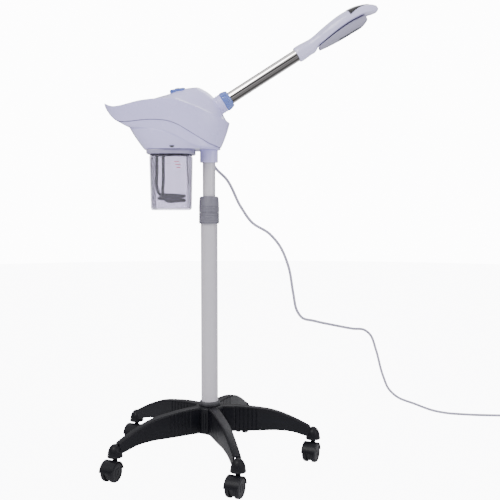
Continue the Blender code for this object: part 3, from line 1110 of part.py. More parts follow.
def main():
    """Builds the whole steamer, body by body."""
    for obj in list(bpy.data.objects):
        bpy.data.objects.remove(obj, do_unlink=True)
    finish = make_finishes()

    base = make_empty("base_axis", (POLE_X, POLE_Y, 0.0))
    clamp = make_empty("clamp_axis", (0.0, 0.0, NUT_FOOT), base)
    swivel = make_empty("mast_swivel_axis", (0.0, 0.0, 0.0), base)
    head = make_empty("head_slide_axis", (0.0, 0.0, HEAD_Z), swivel)
    jar_axis = make_empty("jar_axis", (JAR_X, 0.0, 0.0), head)
    arm = make_empty("arm_axis", (0.0, 0.0, ARM_HEIGHT), head, (0.0, -ARM_ANGLE, 0.0))
    nut_axis = make_empty("arm_nut_axis", (0.0, 0.0, 0.0), arm)
    tube_axis = make_empty("arm_turn_axis", (0.0, 0.0, 0.0), arm)
    spray = make_empty("spray_turn_axis", (0.0, 0.0, 0.0), tube_axis)
    centre, tilt = panel_place()
    panel_axis = make_empty("panel_axis", centre, head, tilt)
    press_axes = {
        "power_button": make_empty("power_press_axis", (0.0, -BUTTON_SPACING / 2, 0.0), panel_axis),
        "ozone_button": make_empty("ozone_press_axis", (0.0, BUTTON_SPACING / 2, 0.0), panel_axis),
    }

    build_star_base(finish["base"], base)
    for number in range(1, LEG_COUNT + 1):
        build_castor(number, finish, base)
    build_mast(finish, base, clamp, swivel, head)
    build_upper_shell(finish, head)
    build_lower_shell(finish, head)
    build_jar(finish, head, jar_axis)
    build_boiler(finish, head)
    build_electronics(finish, panel_axis)
    build_controls(finish, head, press_axes)
    build_arm(finish, arm, nut_axis, tube_axis)
    build_spray_head(finish, spray)
    build_cord(finish, head, swivel)


main()
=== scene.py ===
"""Facial steamer, the visual model: smooth shells, jar, mast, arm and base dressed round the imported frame.

Every shape is worked out with numpy in the frame's own metres, so finished objects sit at the origin.
The pole stands at POLE; the arm points along +X, the beak of the head along -X.
"""
from __future__ import annotations

import logging
import math
from dataclasses import dataclass
from enum import Enum

import bmesh
import bpy
import numpy as np
from mathutils import Matrix


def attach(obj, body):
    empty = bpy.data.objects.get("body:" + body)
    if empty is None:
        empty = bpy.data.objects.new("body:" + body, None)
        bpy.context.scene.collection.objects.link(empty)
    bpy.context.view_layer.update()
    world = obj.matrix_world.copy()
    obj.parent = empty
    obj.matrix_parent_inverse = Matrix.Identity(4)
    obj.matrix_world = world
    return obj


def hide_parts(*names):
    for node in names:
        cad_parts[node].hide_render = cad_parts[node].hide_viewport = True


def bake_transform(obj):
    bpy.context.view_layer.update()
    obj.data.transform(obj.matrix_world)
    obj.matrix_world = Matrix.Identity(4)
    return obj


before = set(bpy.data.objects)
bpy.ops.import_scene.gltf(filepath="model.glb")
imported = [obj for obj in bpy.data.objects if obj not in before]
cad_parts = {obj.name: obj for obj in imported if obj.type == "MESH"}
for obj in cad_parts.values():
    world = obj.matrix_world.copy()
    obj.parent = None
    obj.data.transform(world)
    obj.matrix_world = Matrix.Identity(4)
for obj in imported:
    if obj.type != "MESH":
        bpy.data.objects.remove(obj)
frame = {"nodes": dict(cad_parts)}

log = logging.getLogger("steamer")
Array = np.ndarray
POLE = np.array([-0.0675, 0.0120, 0.0])
HEAD_Z = 0.6486
HEAD_FOOT = POLE + (0.0, 0.0, HEAD_Z)
ARM_HEIGHT = 0.1081
ARM_ANGLE = math.radians(32.4)
STEM_CIRCLE = 0.2266
LEG_COUNT = 5
GAP = 0.0003


class Ends(Enum):
    """How the first and last rings of a skinned surface end."""

    CAPPED = "capped"
    JOINED = "joined"


# ================================ Shape tools ==================================================
def through(points: list[tuple[float, float]], x: Array | float) -> Array:
    """A cubic Hermite curve through given points.

    Args:
        points: (x, value) pairs; each tangent is the slope of the chord of its neighbours.
        x: places to read the curve at.

    Returns:
        The curve's values: on each span the four Hermite blends of end values and end slopes.
    """
    table = np.array(sorted(points), float)
    px, py = table[:, 0], table[:, 1]
    slopes = np.gradient(py, px)
    x = np.clip(x, px[0], px[-1])
    index = np.clip(np.searchsorted(px, x) - 1, 0, len(px) - 2)
    width = px[index + 1] - px[index]
    t = (x - px[index]) / width
    start = (2 * t**3 - 3 * t**2 + 1) * py[index] + (t**3 - 2 * t**2 + t) * width * slopes[index]
    end = (3 * t**2 - 2 * t**3) * py[index + 1] + (t**3 - t**2) * width * slopes[index + 1]
    return start + end


def signed_power(value: Array, power: Array | float) -> Array:
    """The power of each number's size, with its own sign kept."""
    return np.sign(value) * np.abs(value) ** power


def around(count: int, shift: float = 0.0) -> Array:
    """Evenly spaced angles of one full turn, moved on by a share of a step."""
    return (np.arange(count) + shift) * 2 * math.pi / count


def smooth(low: float, high: float, x: Array) -> Array:
    """A soft step: 3t^2 - 2t^3 of x's clipped share of the way from low to high."""
    t = np.clip((x - low) / (high - low), 0.0, 1.0)
    return t * t * (3 - 2 * t)


def fillet(profile: Array, radius: float, steps: int = 5) -> Array:
    """Rounds the inner corners of a run of points, or of a run of whole rings.

    Args:
        profile: points along the first axis; the other axes may hold a ring of points.
        radius: how far back along each side a corner's curve starts, at most 0.45 of the side.
        steps: points of each corner's curve.

    Returns:
        The run with each inner point P replaced by (1-t)^2 A + 2t(1-t) P + t^2 B, A and B on its two sides.
    """
    p = np.asarray(profile, float)
    back, ahead = p[:-2] - p[1:-1], p[2:] - p[1:-1]
    back_run = np.linalg.norm(back, axis=-1, keepdims=True) + 1e-12
    ahead_run = np.linalg.norm(ahead, axis=-1, keepdims=True) + 1e-12
    a = p[1:-1] + back / back_run * np.minimum(radius, 0.45 * back_run)
    b = p[1:-1] + ahead / ahead_run * np.minimum(radius, 0.45 * ahead_run)
    t = np.linspace(0, 1, steps).reshape((1, steps) + (1,) * (p.ndim - 1))
    arcs = (1 - t) ** 2 * a[:, None] + 2 * t * (1 - t) * p[1:-1][:, None] + t**2 * b[:, None]
    return np.concatenate([p[:1], arcs.reshape((-1,) + p.shape[1:]), p[-1:]])


def ring_fillet(profile: Array, radius: float, steps: int = 5) -> Array:
    """Rounds every corner of a closed outline by the same rule as fillet."""
    p = np.asarray(profile, float)
    return fillet(np.concatenate([p[-1:], p, p[:1]]), radius, steps)[1:-1]


def spline(points: list[tuple[float, ...]], count: int) -> Array:
    """Evenly spaced points on a Hermite curve through the given ones, by chord length."""
    p = np.array(points, float)
    knots = np.concatenate([[0.0], np.cumsum(np.linalg.norm(np.diff(p, axis=0), axis=1))])
    fine = np.linspace(0.0, knots[-1], 60 * len(p))
    curve = np.stack([through(list(zip(knots, p[:, k])), fine) for k in range(p.shape[1])], axis=1)
    run = np.concatenate([[0.0], np.cumsum(np.linalg.norm(np.diff(curve, axis=0), axis=1))])
    even = np.linspace(0.0, run[-1], count)
    return np.stack([np.interp(even, run, curve[:, k]) for k in range(p.shape[1])], axis=1)


def lathe(profile: Array, segments: int = 128, along: str = "z") -> Array:
    """Rings of a surface of revolution: (r cos a, r sin a, h), with h along the named axis."""
    p = np.asarray(profile, float)
    angle = around(segments)
    radial = p[:, :1] * np.cos(angle), p[:, :1] * np.sin(angle)
    height = np.repeat(p[:, 1:], segments, axis=1)
    order = (radial[0], radial[1], height) if along == "z" else (height, radial[0], radial[1])
    return np.stack(order, axis=-1)


def carried(path: Array, outline: Array) -> Array:
    """A flat outline carried along a path: each ring is point + side * u + other * v.

    Args:
        path: the points of the path.
        outline: (stations, points, 2) outlines, or one outline for all stations.

    Returns:
        Rings whose side vector is turned as little as possible from one station to the next.
    """
    tangent = np.gradient(path, axis=0)
    tangent /= np.linalg.norm(tangent, axis=1)[:, None]
    sides = np.zeros_like(path)
    side = np.cross(tangent[0], (0.0, 1.0, 0.013))
    for k, t in enumerate(tangent):
        side = side - t * side.dot(t)
        side = side / np.linalg.norm(side)
        sides[k] = side
    other = np.cross(tangent, sides)
    outline = np.broadcast_to(outline, (len(path),) + outline.shape[-2:])
    return path[:, None] + sides[:, None] * outline[..., :1] + other[:, None] * outline[..., 1:]


def circle(radius: Array | float, count: int = 24) -> Array:
    """Points of a circle, or of one circle for each radius given."""
    unit = np.stack([np.cos(around(count)), np.sin(around(count))], axis=1)
    return np.reshape(np.asarray(radius, float), (-1, 1, 1)) * unit


def tilt_y(points: Array, angle: float) -> Array:
    """Points turned about +Y so that +X goes down by the angle: x' = x cos + z sin, z' = z cos - x sin."""
    c, s = math.cos(angle), math.sin(angle)
    return points @ np.array([[c, 0, -s], [0, 1, 0], [s, 0, c]])


def turn_z(points: Array, angle: float) -> Array:
    """Points turned about +Z: x' = x cos - y sin, y' = x sin + y cos."""
    c, s = math.cos(angle), math.sin(angle)
    return points @ np.array([[c, s, 0], [-s, c, 0], [0, 0, 1]])


class Piece:
    """One visible mesh of the model, skinned from rings of points."""

    @staticmethod
    def skin_faces(rings: int, count: int, ends: Ends) -> list:
        """Quads between each ring and the next, and n-gon caps where the ends are capped."""
        low = np.arange(rings if ends is Ends.JOINED else rings - 1)[:, None] * count
        k = np.arange(count)[None, :]
        high = (low + count) % (rings * count)
        after = (k + 1) % count
        quads = np.stack([low + k, low + after, high + after, high + k], axis=-1).reshape(-1, 4).tolist()
        if ends is Ends.CAPPED:
            quads += [list(range(count))[::-1], list(range((rings - 1) * count, rings * count))]
        return quads

    @classmethod
    def make(cls, name: str, solids: list[Array], material: bpy.types.Material, body: str,
             stands_for: tuple = (), slot: str = "", ends: Ends = Ends.CAPPED,
             sharp: float = 32.0) -> bpy.types.Object:
        """Builds the mesh, dresses it and sets it riding.

        Args:
            name: the piece's name.
            solids: one or more (rings, count, 3) arrays in the frame's metres.
            material: its finish.
            body: the body it moves with, or an empty text for none.
            stands_for: the frame's nodes that it replaces.
            slot: the record's material slot; not used.
            ends: how the rings end.
            sharp: edges folded by more than this many degrees are shaded sharp.

        Returns:
            The finished object, at the origin.
        """
        points, faces, base = [], [], 0
        for rings in solids:
            n, count = rings.shape[:2]
            points.append(rings.reshape(-1, 3))
            faces += [[v + base for v in face] for face in cls.skin_faces(n, count, ends)]
            base += n * count
        mesh = bpy.data.meshes.new(name)
        mesh.from_pydata(np.concatenate(points), [], faces)
        work = bmesh.new()
        work.from_mesh(mesh)
        bmesh.ops.remove_doubles(work, verts=work.verts, dist=2e-6)
        bmesh.ops.recalc_face_normals(work, faces=work.faces)
        work.to_mesh(mesh)
        work.free()
        mesh.shade_smooth()
        mesh.set_sharp_from_angle(angle=math.radians(sharp))
        mesh.materials.append(material)
        obj = bpy.data.objects.new(name, mesh)
        bpy.context.scene.collection.objects.link(obj)
        if body:
            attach(obj, body)
        if stands_for:
            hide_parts(*stands_for)
        log.info("%s: %d points, rides %s", name, len(mesh.vertices), body or "a blend")
        return obj


# ================================ Finishes =====================================================
class Groups:
    """The shader node groups that the finishes share, each built once."""

    made: dict[str, bpy.types.NodeTree] = {}

    @staticmethod
    def start(name: str, inputs: dict[str, float], outputs: tuple[str, ...]) -> tuple:
        """A new group with named float inputs, float outputs, and its two end nodes."""
        tree = bpy.data.node_groups.new(name, "ShaderNodeTree")
        for key, value in inputs.items():
            tree.interface.new_socket(key, in_out="INPUT",
                                      socket_type="NodeSocketFloat").default_value = value
        for key in outputs:
            tree.interface.new_socket(key, in_out="OUTPUT", socket_type="NodeSocketFloat")
        return tree, tree.nodes.new("NodeGroupInput"), tree.nodes.new("NodeGroupOutput")

    @staticmethod
    def math(tree: bpy.types.NodeTree, operation: str, a: object, b: object) -> bpy.types.NodeSocket:
        """One math node fed by sockets or numbers."""
        node = tree.nodes.new("ShaderNodeMath")
        node.operation = operation
        for socket, value in zip(node.inputs, (a, b)):
            if isinstance(value, bpy.types.NodeSocket):
                tree.links.new(value, socket)
            else:
                socket.default_value = value
        return node.outputs[0]

    @staticmethod
    def noise(tree: bpy.types.NodeTree, scale: object, detail: float, vector: bpy.types.NodeSocket) -> object:
        """A noise texture's value at a scale per metre."""
        node = tree.nodes.new("ShaderNodeTexNoise")
        node.inputs["Detail"].default_value = detail
        tree.links.new(vector, node.inputs["Vector"])
        if isinstance(scale, bpy.types.NodeSocket):
            tree.links.new(scale, node.inputs["Scale"])
        else:
            node.inputs["Scale"].default_value = scale
        return node.outputs["Fac"]

    @classmethod
    def grain(cls) -> bpy.types.NodeTree:
        """Moulded or painted skin: fine pebble for bump, slow mottle for colour, smears for gloss."""
        if "grain" in cls.made:
            return cls.made["grain"]
        tree, ins, outs = cls.start("surface_grain",
                                    {"Grain Scale": 900.0, "Mottle Scale": 14.0, "Smear Scale": 30.0},
                                    ("Grain", "Mottle", "Smear"))
        place = tree.nodes.new("ShaderNodeTexCoord").outputs["Object"]
        tree.links.new(cls.noise(tree, ins.outputs["Grain Scale"], 3.0, place), outs.inputs["Grain"])
        tree.links.new(cls.noise(tree, ins.outputs["Mottle Scale"], 5.0, place), outs.inputs["Mottle"])
        coarse = cls.noise(tree, ins.outputs["Smear Scale"], 8.0, place)
        sharp = cls.math(tree, "POWER", coarse, 2.2)
        tree.links.new(sharp, outs.inputs["Smear"])
        cls.made["grain"] = tree
        return tree

    @classmethod
    def dust(cls) -> bpy.types.NodeTree:
        """Dust that settles on faces turned up: the normal's height times a broken noise."""
        if "dust" in cls.made:
            return cls.made["dust"]
        tree, ins, outs = cls.start("settled_dust", {"Speck Scale": 420.0, "Amount": 0.3}, ("Mask",))
        geometry = tree.nodes.new("ShaderNodeNewGeometry")
        split = tree.nodes.new("ShaderNodeSeparateXYZ")
        tree.links.new(geometry.outputs["Normal"], split.inputs[0])
        place = tree.nodes.new("ShaderNodeTexCoord").outputs["Object"]
        specks = cls.math(tree, "POWER", cls.noise(tree, ins.outputs["Speck Scale"], 6.0, place), 3.0)
        up = cls.math(tree, "MAXIMUM", split.outputs["Z"], 0.0)
        mask = cls.math(tree, "MULTIPLY", cls.math(tree, "MULTIPLY", up, specks), ins.outputs["Amount"])
        tree.links.new(mask, outs.inputs["Mask"])
        cls.made["dust"] = tree
        return tree


@dataclass(frozen=True)
class Finish:
    """One material: its colour and gloss, how grainy it is and how much it varies."""

    slot: str
    colour: tuple[float, float, float]
    roughness: float = 0.35
    metallic: float = 0.0
    grain_scale: float = 900.0
    grain_depth: float = 0.00002
    mottle: float = 0.05
    smear: float = 0.10
    dust: float = 0.25
    coat: float = 0.0
    transmission: float = 0.0
    ior: float = 1.46
    rings: float = 0.0
    ring_depth: float = 0.0
    glow: float = 0.0
    specular: float = 0.5
    # set for chrome: its colour becomes painted reflection bands
    painted_reflections: bool = False
    name: str = ""

    def build(self) -> bpy.types.Material:
        """The Principled material with grain, mottle, smears, dust and, where asked, turned rings or painted
        reflection bands.

        Returns:
            The material: colour = base * (1 - mottle..1 + mottle) mixed to dust grey by the dust mask;
            roughness = base + smear; bump height = grain, plus a sine of the height for turned rings.
        """
        label = self.name or self.slot
        found = bpy.data.materials.get("fine_" + label)
        if found:
            return found
        material = bpy.data.materials.new("fine_" + label)
        material.use_nodes = True
        tree = material.node_tree
        shader = tree.nodes["Principled BSDF"]
        shader.inputs["Metallic"].default_value = self.metallic
        shader.inputs["Coat Weight"].default_value = self.coat
        shader.inputs["Specular IOR Level"].default_value = self.specular
        shader.inputs["Coat Roughness"].default_value = 0.06
        shader.inputs["Transmission Weight"].default_value = self.transmission
        shader.inputs["IOR"].default_value = self.ior
        grain = tree.nodes.new("ShaderNodeGroup")
        grain.node_tree = Groups.grain()
        grain.inputs["Grain Scale"].default_value = self.grain_scale
        low = tuple(c * (1 - self.mottle) for c in self.colour)
        high = tuple(min(c * (1 + self.mottle), 1.0) for c in self.colour)
        blend = self.mix(tree, grain.outputs["Mottle"], low, high)
        colour = blend
        if self.dust:
            dust = tree.nodes.new("ShaderNodeGroup")
            dust.node_tree = Groups.dust()
            dust.inputs["Amount"].default_value = self.dust
            colour = self.mix(tree, dust.outputs["Mask"], blend, (0.62, 0.61, 0.60))
        # painted reflection: dark and bright bands set by the surface's facing replace the colour
        if self.painted_reflections:
            colour = self.painted_reflection_bands(tree)
        tree.links.new(colour, shader.inputs["Base Color"])
        rough = Groups.math(tree, "MULTIPLY", grain.outputs["Smear"], self.smear)
        rough = Groups.math(tree, "ADD", rough, max(self.roughness - self.smear * 0.2, 0.01))
        tree.links.new(rough, shader.inputs["Roughness"])
        height = grain.outputs["Grain"]
        if self.rings:
            height = self.turned_rings(tree, height)
        bump = tree.nodes.new("ShaderNodeBump")
        bump.inputs["Distance"].default_value = self.grain_depth
        bump.inputs["Strength"].default_value = 1.0
        tree.links.new(height, bump.inputs["Height"])
        tree.links.new(bump.outputs["Normal"], shader.inputs["Normal"])
        if self.transmission >= 0.9:
            self.see_through(tree, shader)
        if self.glow:
            self.washed(tree, shader)
        return material

    def washed(self, tree: bpy.types.NodeTree, shader: bpy.types.Node) -> None:
        """A floor washed with white: an even glow that is mixed in for the camera's own rays only."""
        light = tree.nodes.new("ShaderNodeEmission")
        light.inputs["Color"].default_value = (1.0, 1.0, 1.02, 1.0)
        light.inputs["Strength"].default_value = self.glow
        path = tree.nodes.new("ShaderNodeLightPath")
        both = tree.nodes.new("ShaderNodeMixShader")
        tree.links.new(Groups.math(tree, "MULTIPLY", path.outputs["Is Camera Ray"], 0.88), both.inputs[0])
        tree.links.new(shader.outputs[0], both.inputs[1])
        tree.links.new(light.outputs[0], both.inputs[2])
        tree.links.new(both.outputs[0], tree.nodes["Material Output"].inputs["Surface"])

    def painted_reflection_bands(self, tree: bpy.types.NodeTree) -> bpy.types.NodeSocket:
        """Painted reflection bands round the tube: a colour ramp over how far the surface faces up across the
        arm, -1 to 1, whose dark and bright bands stand in for the studio mirrored in the chrome.
        """
        normal = tree.nodes.new("ShaderNodeTexCoord").outputs["Normal"]
        facing = tree.nodes.new("ShaderNodeVectorMath")
        facing.operation = "DOT_PRODUCT"
        facing.inputs[1].default_value = (-math.sin(ARM_ANGLE), 0.0, math.cos(ARM_ANGLE))
        tree.links.new(normal, facing.inputs[0])
        half = Groups.math(tree, "MULTIPLY_ADD", facing.outputs["Value"], 0.5)
        half.node.inputs[2].default_value = 0.5
        ramp = tree.nodes.new("ShaderNodeValToRGB")
        tree.links.new(half, ramp.inputs["Fac"])
        # painted reflection: the dark and bright values of the bands round the tube
        stops = [(0.0, 0.75), (0.06, 0.30), (0.10, 0.06), (0.20, 0.05), (0.25, 0.16), (0.29, 0.07),
                 (0.36, 0.22), (0.46, 0.50), (0.60, 0.90), (0.84, 1.0), (0.885, 0.95), (0.905, 0.015),
                 (1.0, 0.015)]
        ramp.color_ramp.elements[0].position, ramp.color_ramp.elements[1].position = stops[0][0], stops[-1][0]
        for position, _ in stops[1:-1]:
            ramp.color_ramp.elements.new(position)
        for element, (_, value) in zip(ramp.color_ramp.elements, stops):
            element.color = (value, value * 0.955, value * 0.93, 1.0)
        return ramp.outputs["Color"]

    def see_through(self, tree: bpy.types.NodeTree, shader: bpy.types.Node) -> None:
        """Thin clear plastic: mostly straight-through light, with gloss that grows towards the edges."""
        shader.inputs["Transmission Weight"].default_value = 0.0
        clear = tree.nodes.new("ShaderNodeBsdfTransparent")
        clear.inputs["Color"].default_value = (0.56, 0.545, 0.60, 1.0)
        edge = tree.nodes.new("ShaderNodeLayerWeight")
        edge.inputs["Blend"].default_value = 0.32
        share = Groups.math(tree, "ADD", Groups.math(tree, "MULTIPLY", edge.outputs["Fresnel"], 0.55), 0.045)
        both = tree.nodes.new("ShaderNodeMixShader")
        tree.links.new(share, both.inputs[0])
        tree.links.new(clear.outputs[0], both.inputs[1])
        tree.links.new(shader.outputs[0], both.inputs[2])
        tree.links.new(both.outputs[0], tree.nodes["Material Output"].inputs["Surface"])

    def turned_rings(self, tree: bpy.types.NodeTree, height: bpy.types.NodeSocket) -> bpy.types.NodeSocket:
        """Adds fine rings round the piece: half a sine of the height above the floor, rings per metre."""
        place = tree.nodes.new("ShaderNodeTexCoord").outputs["Object"]
        split = tree.nodes.new("ShaderNodeSeparateXYZ")
        tree.links.new(place, split.inputs[0])
        phase = Groups.math(tree, "MULTIPLY", split.outputs["Z"], 2 * math.pi * self.rings)
        wave = Groups.math(tree, "MULTIPLY", Groups.math(tree, "SINE", phase, 0.0), self.ring_depth)
        return Groups.math(tree, "ADD", height, wave)

    @staticmethod
    def mix(tree: bpy.types.NodeTree, factor: bpy.types.NodeSocket, a: object,
            b: object) -> bpy.types.NodeSocket:
        """A colour mix of two colours or sockets by a factor socket."""
        node = tree.nodes.new("ShaderNodeMix")
        node.data_type = "RGBA"
        tree.links.new(factor, node.inputs["Factor"])
        for socket, value in ((node.inputs[6], a), (node.inputs[7], b)):
            if isinstance(value, bpy.types.NodeSocket):
                tree.links.new(value, socket)
            else:
                socket.default_value = (*value, 1.0)
        return node.outputs[2]


@dataclass(frozen=True)
class Palette:
    """All the finishes of the steamer."""

    base: Finish = Finish("base_black", (0.004, 0.004, 0.0065), 0.42, grain_scale=1500.0, grain_depth=0.00003,
                          dust=0.01, smear=0.16, specular=0.22)
    castor: Finish = Finish("castor_black", (0.004, 0.004, 0.0065), 0.38, grain_scale=1700.0, dust=0.01,
                            specular=0.25)
    wheel: Finish = Finish("wheel_black", (0.007, 0.007, 0.010), 0.48, grain_scale=1100.0, dust=0.02,
                           specular=0.25)
    rubber: Finish = Finish("dark_rubber", (0.030, 0.030, 0.036), 0.60, grain_scale=1300.0)
    steel: Finish = Finish("steel", (0.50, 0.49, 0.53), 0.24, metallic=1.0, grain_scale=600.0, dust=0.0)
    pole: Finish = Finish("pole_silver", (0.52, 0.50, 0.55), 0.33, grain_scale=2600.0, mottle=0.03, dust=0.05,
                          coat=0.25)
    mast: Finish = Finish("mast_silver", (0.58, 0.56, 0.61), 0.30, grain_scale=2600.0, mottle=0.03, dust=0.05,
                          coat=0.30)
    collar: Finish = Finish("collar_grey", (0.165, 0.160, 0.200), 0.42, grain_scale=1400.0,
                            grain_depth=0.00005, rings=640.0, ring_depth=1.6, dust=0.10)
    shell: Finish = Finish("shell_white", (0.58, 0.55, 0.90), 0.27, grain_scale=1600.0, grain_depth=0.000008,
                           mottle=0.02, dust=0.03, coat=0.35)
    ring: Finish = Finish("ring_white", (0.34, 0.32, 0.47), 0.33, mottle=0.03, dust=0.05)
    spray: Finish = Finish("spray_white", (0.62, 0.60, 0.86), 0.25, grain_scale=1600.0, grain_depth=0.000008,
                           mottle=0.02, dust=0.03, coat=0.35)
    module: Finish = Finish("module_grey", (0.31, 0.30, 0.40), 0.36, grain_scale=1500.0, dust=0.05)
    grille: Finish = Finish("grille_grey", (0.12, 0.12, 0.15), 0.45)
    window: Finish = Finish("window_black", (0.006, 0.006, 0.008), 0.06, grain_depth=0.000002, smear=0.05,
                            dust=0.02, coat=0.5)
    jar: Finish = Finish("jar_clear", (0.92, 0.915, 0.975), 0.05, mottle=0.01, dust=0.0, smear=0.05,
                         grain_depth=0.000002, transmission=1.0, ior=1.42)
    plate: Finish = Finish("plate_grey", (0.42, 0.41, 0.47), 0.42, metallic=0.8)
    blue: Finish = Finish("translucent_blue", (0.16, 0.24, 0.68), 0.14, grain_depth=0.000004, mottle=0.10,
                          dust=0.04, transmission=0.30, coat=0.4)
    button: Finish = Finish("button_white", (0.74, 0.74, 0.82), 0.32)
    lens: Finish = Finish("lens_green", (0.10, 0.55, 0.20), 0.12, transmission=0.3)
    # its colour is painted reflection bands, dark and bright by the way the tube's surface faces
    chrome: Finish = Finish("chrome", (0.86, 0.84, 0.85), 0.05, metallic=1.0, grain_depth=0.000001,
                            mottle=0.02, smear=0.07, dust=0.02, painted_reflections=True)
    cord: Finish = Finish("cord_white", (0.40, 0.385, 0.50), 0.42, grain_scale=1300.0, dust=0.10)
    pin: Finish = Finish("plated_brass", (0.66, 0.63, 0.57), 0.22, metallic=1.0, dust=0.0)
    board: Finish = Finish("board_green", (0.03, 0.17, 0.08), 0.50)
    lamp: Finish = Finish("lamp_glass", (0.80, 0.82, 0.95), 0.06, transmission=0.8)
    duct: Finish = Finish("duct_white", (0.68, 0.67, 0.66), 0.45)
    nylon: Finish = Finish("nylon", (0.72, 0.72, 0.69), 0.50)
    tick: Finish = Finish("ring_white", (0.42, 0.07, 0.08), 0.45, name="tick_red")
    # painted shade: near-black colour for the shadowed inside of a recess on the bowl
    groove: Finish = Finish("collar_grey", (0.05, 0.05, 0.07), 0.55, name="painted_recess_shade")


# ================================ Studio =======================================================
@dataclass
class Studio:
    """The camera, the pale floor and the soft light."""

    lens: float = 56.26
    sensor: float = 36.0
    place: tuple = (0.05683, -1.67622, 0.5612)
    right: tuple = (0.99977, 0.02130, 0.0)
    up: tuple = (-0.00127, 0.05948, 0.99823)
    back: tuple = (0.02126, -0.99800, 0.05949)

    def camera(self) -> None:
        """Puts the camera on its place, looking along minus its back vector."""
        data = bpy.data.cameras.new("camera")
        data.lens, data.sensor_width = self.lens, self.sensor
        camera = bpy.data.objects.new("camera", data)
        matrix = np.eye(4)
        matrix[:3, 0], matrix[:3, 1], matrix[:3, 2] = self.right, self.up, self.back
        matrix[:3, 3] = self.place
        camera.matrix_world = Matrix(matrix.tolist())
        bpy.context.scene.collection.objects.link(camera)
        bpy.context.scene.camera = camera

    def floor(self) -> None:
        """A wide pale floor disc just under the wheels."""
        rings = lathe(np.array([(0.0, -0.0006), (6.0, -0.0006), (6.0, -0.01), (0.0, -0.01)]), 96)
        mesh = bpy.data.meshes.new("floor")
        mesh.from_pydata(rings.reshape(-1, 3), [], Piece.skin_faces(4, 96, Ends.CAPPED))
        material = Finish("floor", (0.93, 0.93, 0.95), 0.75, grain_scale=60.0, grain_depth=0.0001, dust=0.0,
                          glow=12.0).build()
        mesh.materials.append(material)
        floor = bpy.data.objects.new("floor", mesh)
        bpy.context.scene.collection.objects.link(floor)

    @staticmethod
    def light(name: str, place: tuple, aim: tuple, size: float, power: float, tint: tuple) -> None:
        """One soft square area light aimed at a point."""
        data = bpy.data.lights.new(name, "AREA")
        data.size, data.energy, data.color = size, power, tint
        lamp = bpy.data.objects.new(name, data)
        away = np.array(place, float) - np.array(aim, float)
        away /= np.linalg.norm(away)
        side = np.cross((0.0, 0.0, 1.0), away)
        side /= np.linalg.norm(side)
        matrix = np.eye(4)
        matrix[:3, 0], matrix[:3, 1], matrix[:3, 2], matrix[:3, 3] = side, np.cross(away, side), away, place
        lamp.matrix_world = Matrix(matrix.tolist())
        bpy.context.scene.collection.objects.link(lamp)

    def sky(self) -> None:
        """White to the camera; for light and gloss, bright above with a dark band near the horizon."""
        world = bpy.data.worlds.new("studio")
        bpy.context.scene.world = world
        world.use_nodes = True
        tree = world.node_tree
        background = tree.nodes["Background"]
        split = tree.nodes.new("ShaderNodeSeparateXYZ")
        place = tree.nodes.new("ShaderNodeTexCoord")
        tree.links.new(place.outputs["Generated"], split.inputs[0])
        half = Groups.math(tree, "MULTIPLY_ADD", split.outputs["Z"], 0.5)
        half.node.inputs[2].default_value = 0.5
        ramp = tree.nodes.new("ShaderNodeValToRGB")
        tree.links.new(half, ramp.inputs["Fac"])
        stops = [(0.0, 0.55), (0.46, 0.45), (0.50, 0.06), (0.60, 0.05), (0.66, 0.75), (0.74, 1.0), (1.0, 1.1)]
        ramp.color_ramp.elements[0].position, ramp.color_ramp.elements[1].position = stops[0][0], stops[-1][0]
        for position, _ in stops[1:-1]:
            ramp.color_ramp.elements.new(position)
        for element, (_, value) in zip(ramp.color_ramp.elements, stops):
            element.color = (value, value, value * 1.02, 1.0)
        path = tree.nodes.new("ShaderNodeLightPath")
        colour = Finish.mix(tree, path.outputs["Is Camera Ray"], ramp.outputs["Color"], (13.0, 13.0, 13.2))
        tree.links.new(colour, background.inputs["Color"])
        background.inputs["Strength"].default_value = 1.0

    def build(self) -> None:
        """Camera, floor, sky and three soft lights."""
        self.camera()
        self.floor()
        self.sky()
        aim = (-0.05, 0.0, 0.55)
        self.light("key", (-0.9, -1.5, 2.1), aim, 1.1, 40.0, (1.0, 0.99, 0.98))
        self.light("fill", (1.5, -1.2, 1.0), aim, 1.2, 13.0, (0.96, 0.97, 1.0))
        self.light("rim", (0.4, 1.4, 1.9), aim, 1.0, 12.0, (0.98, 0.98, 1.0))


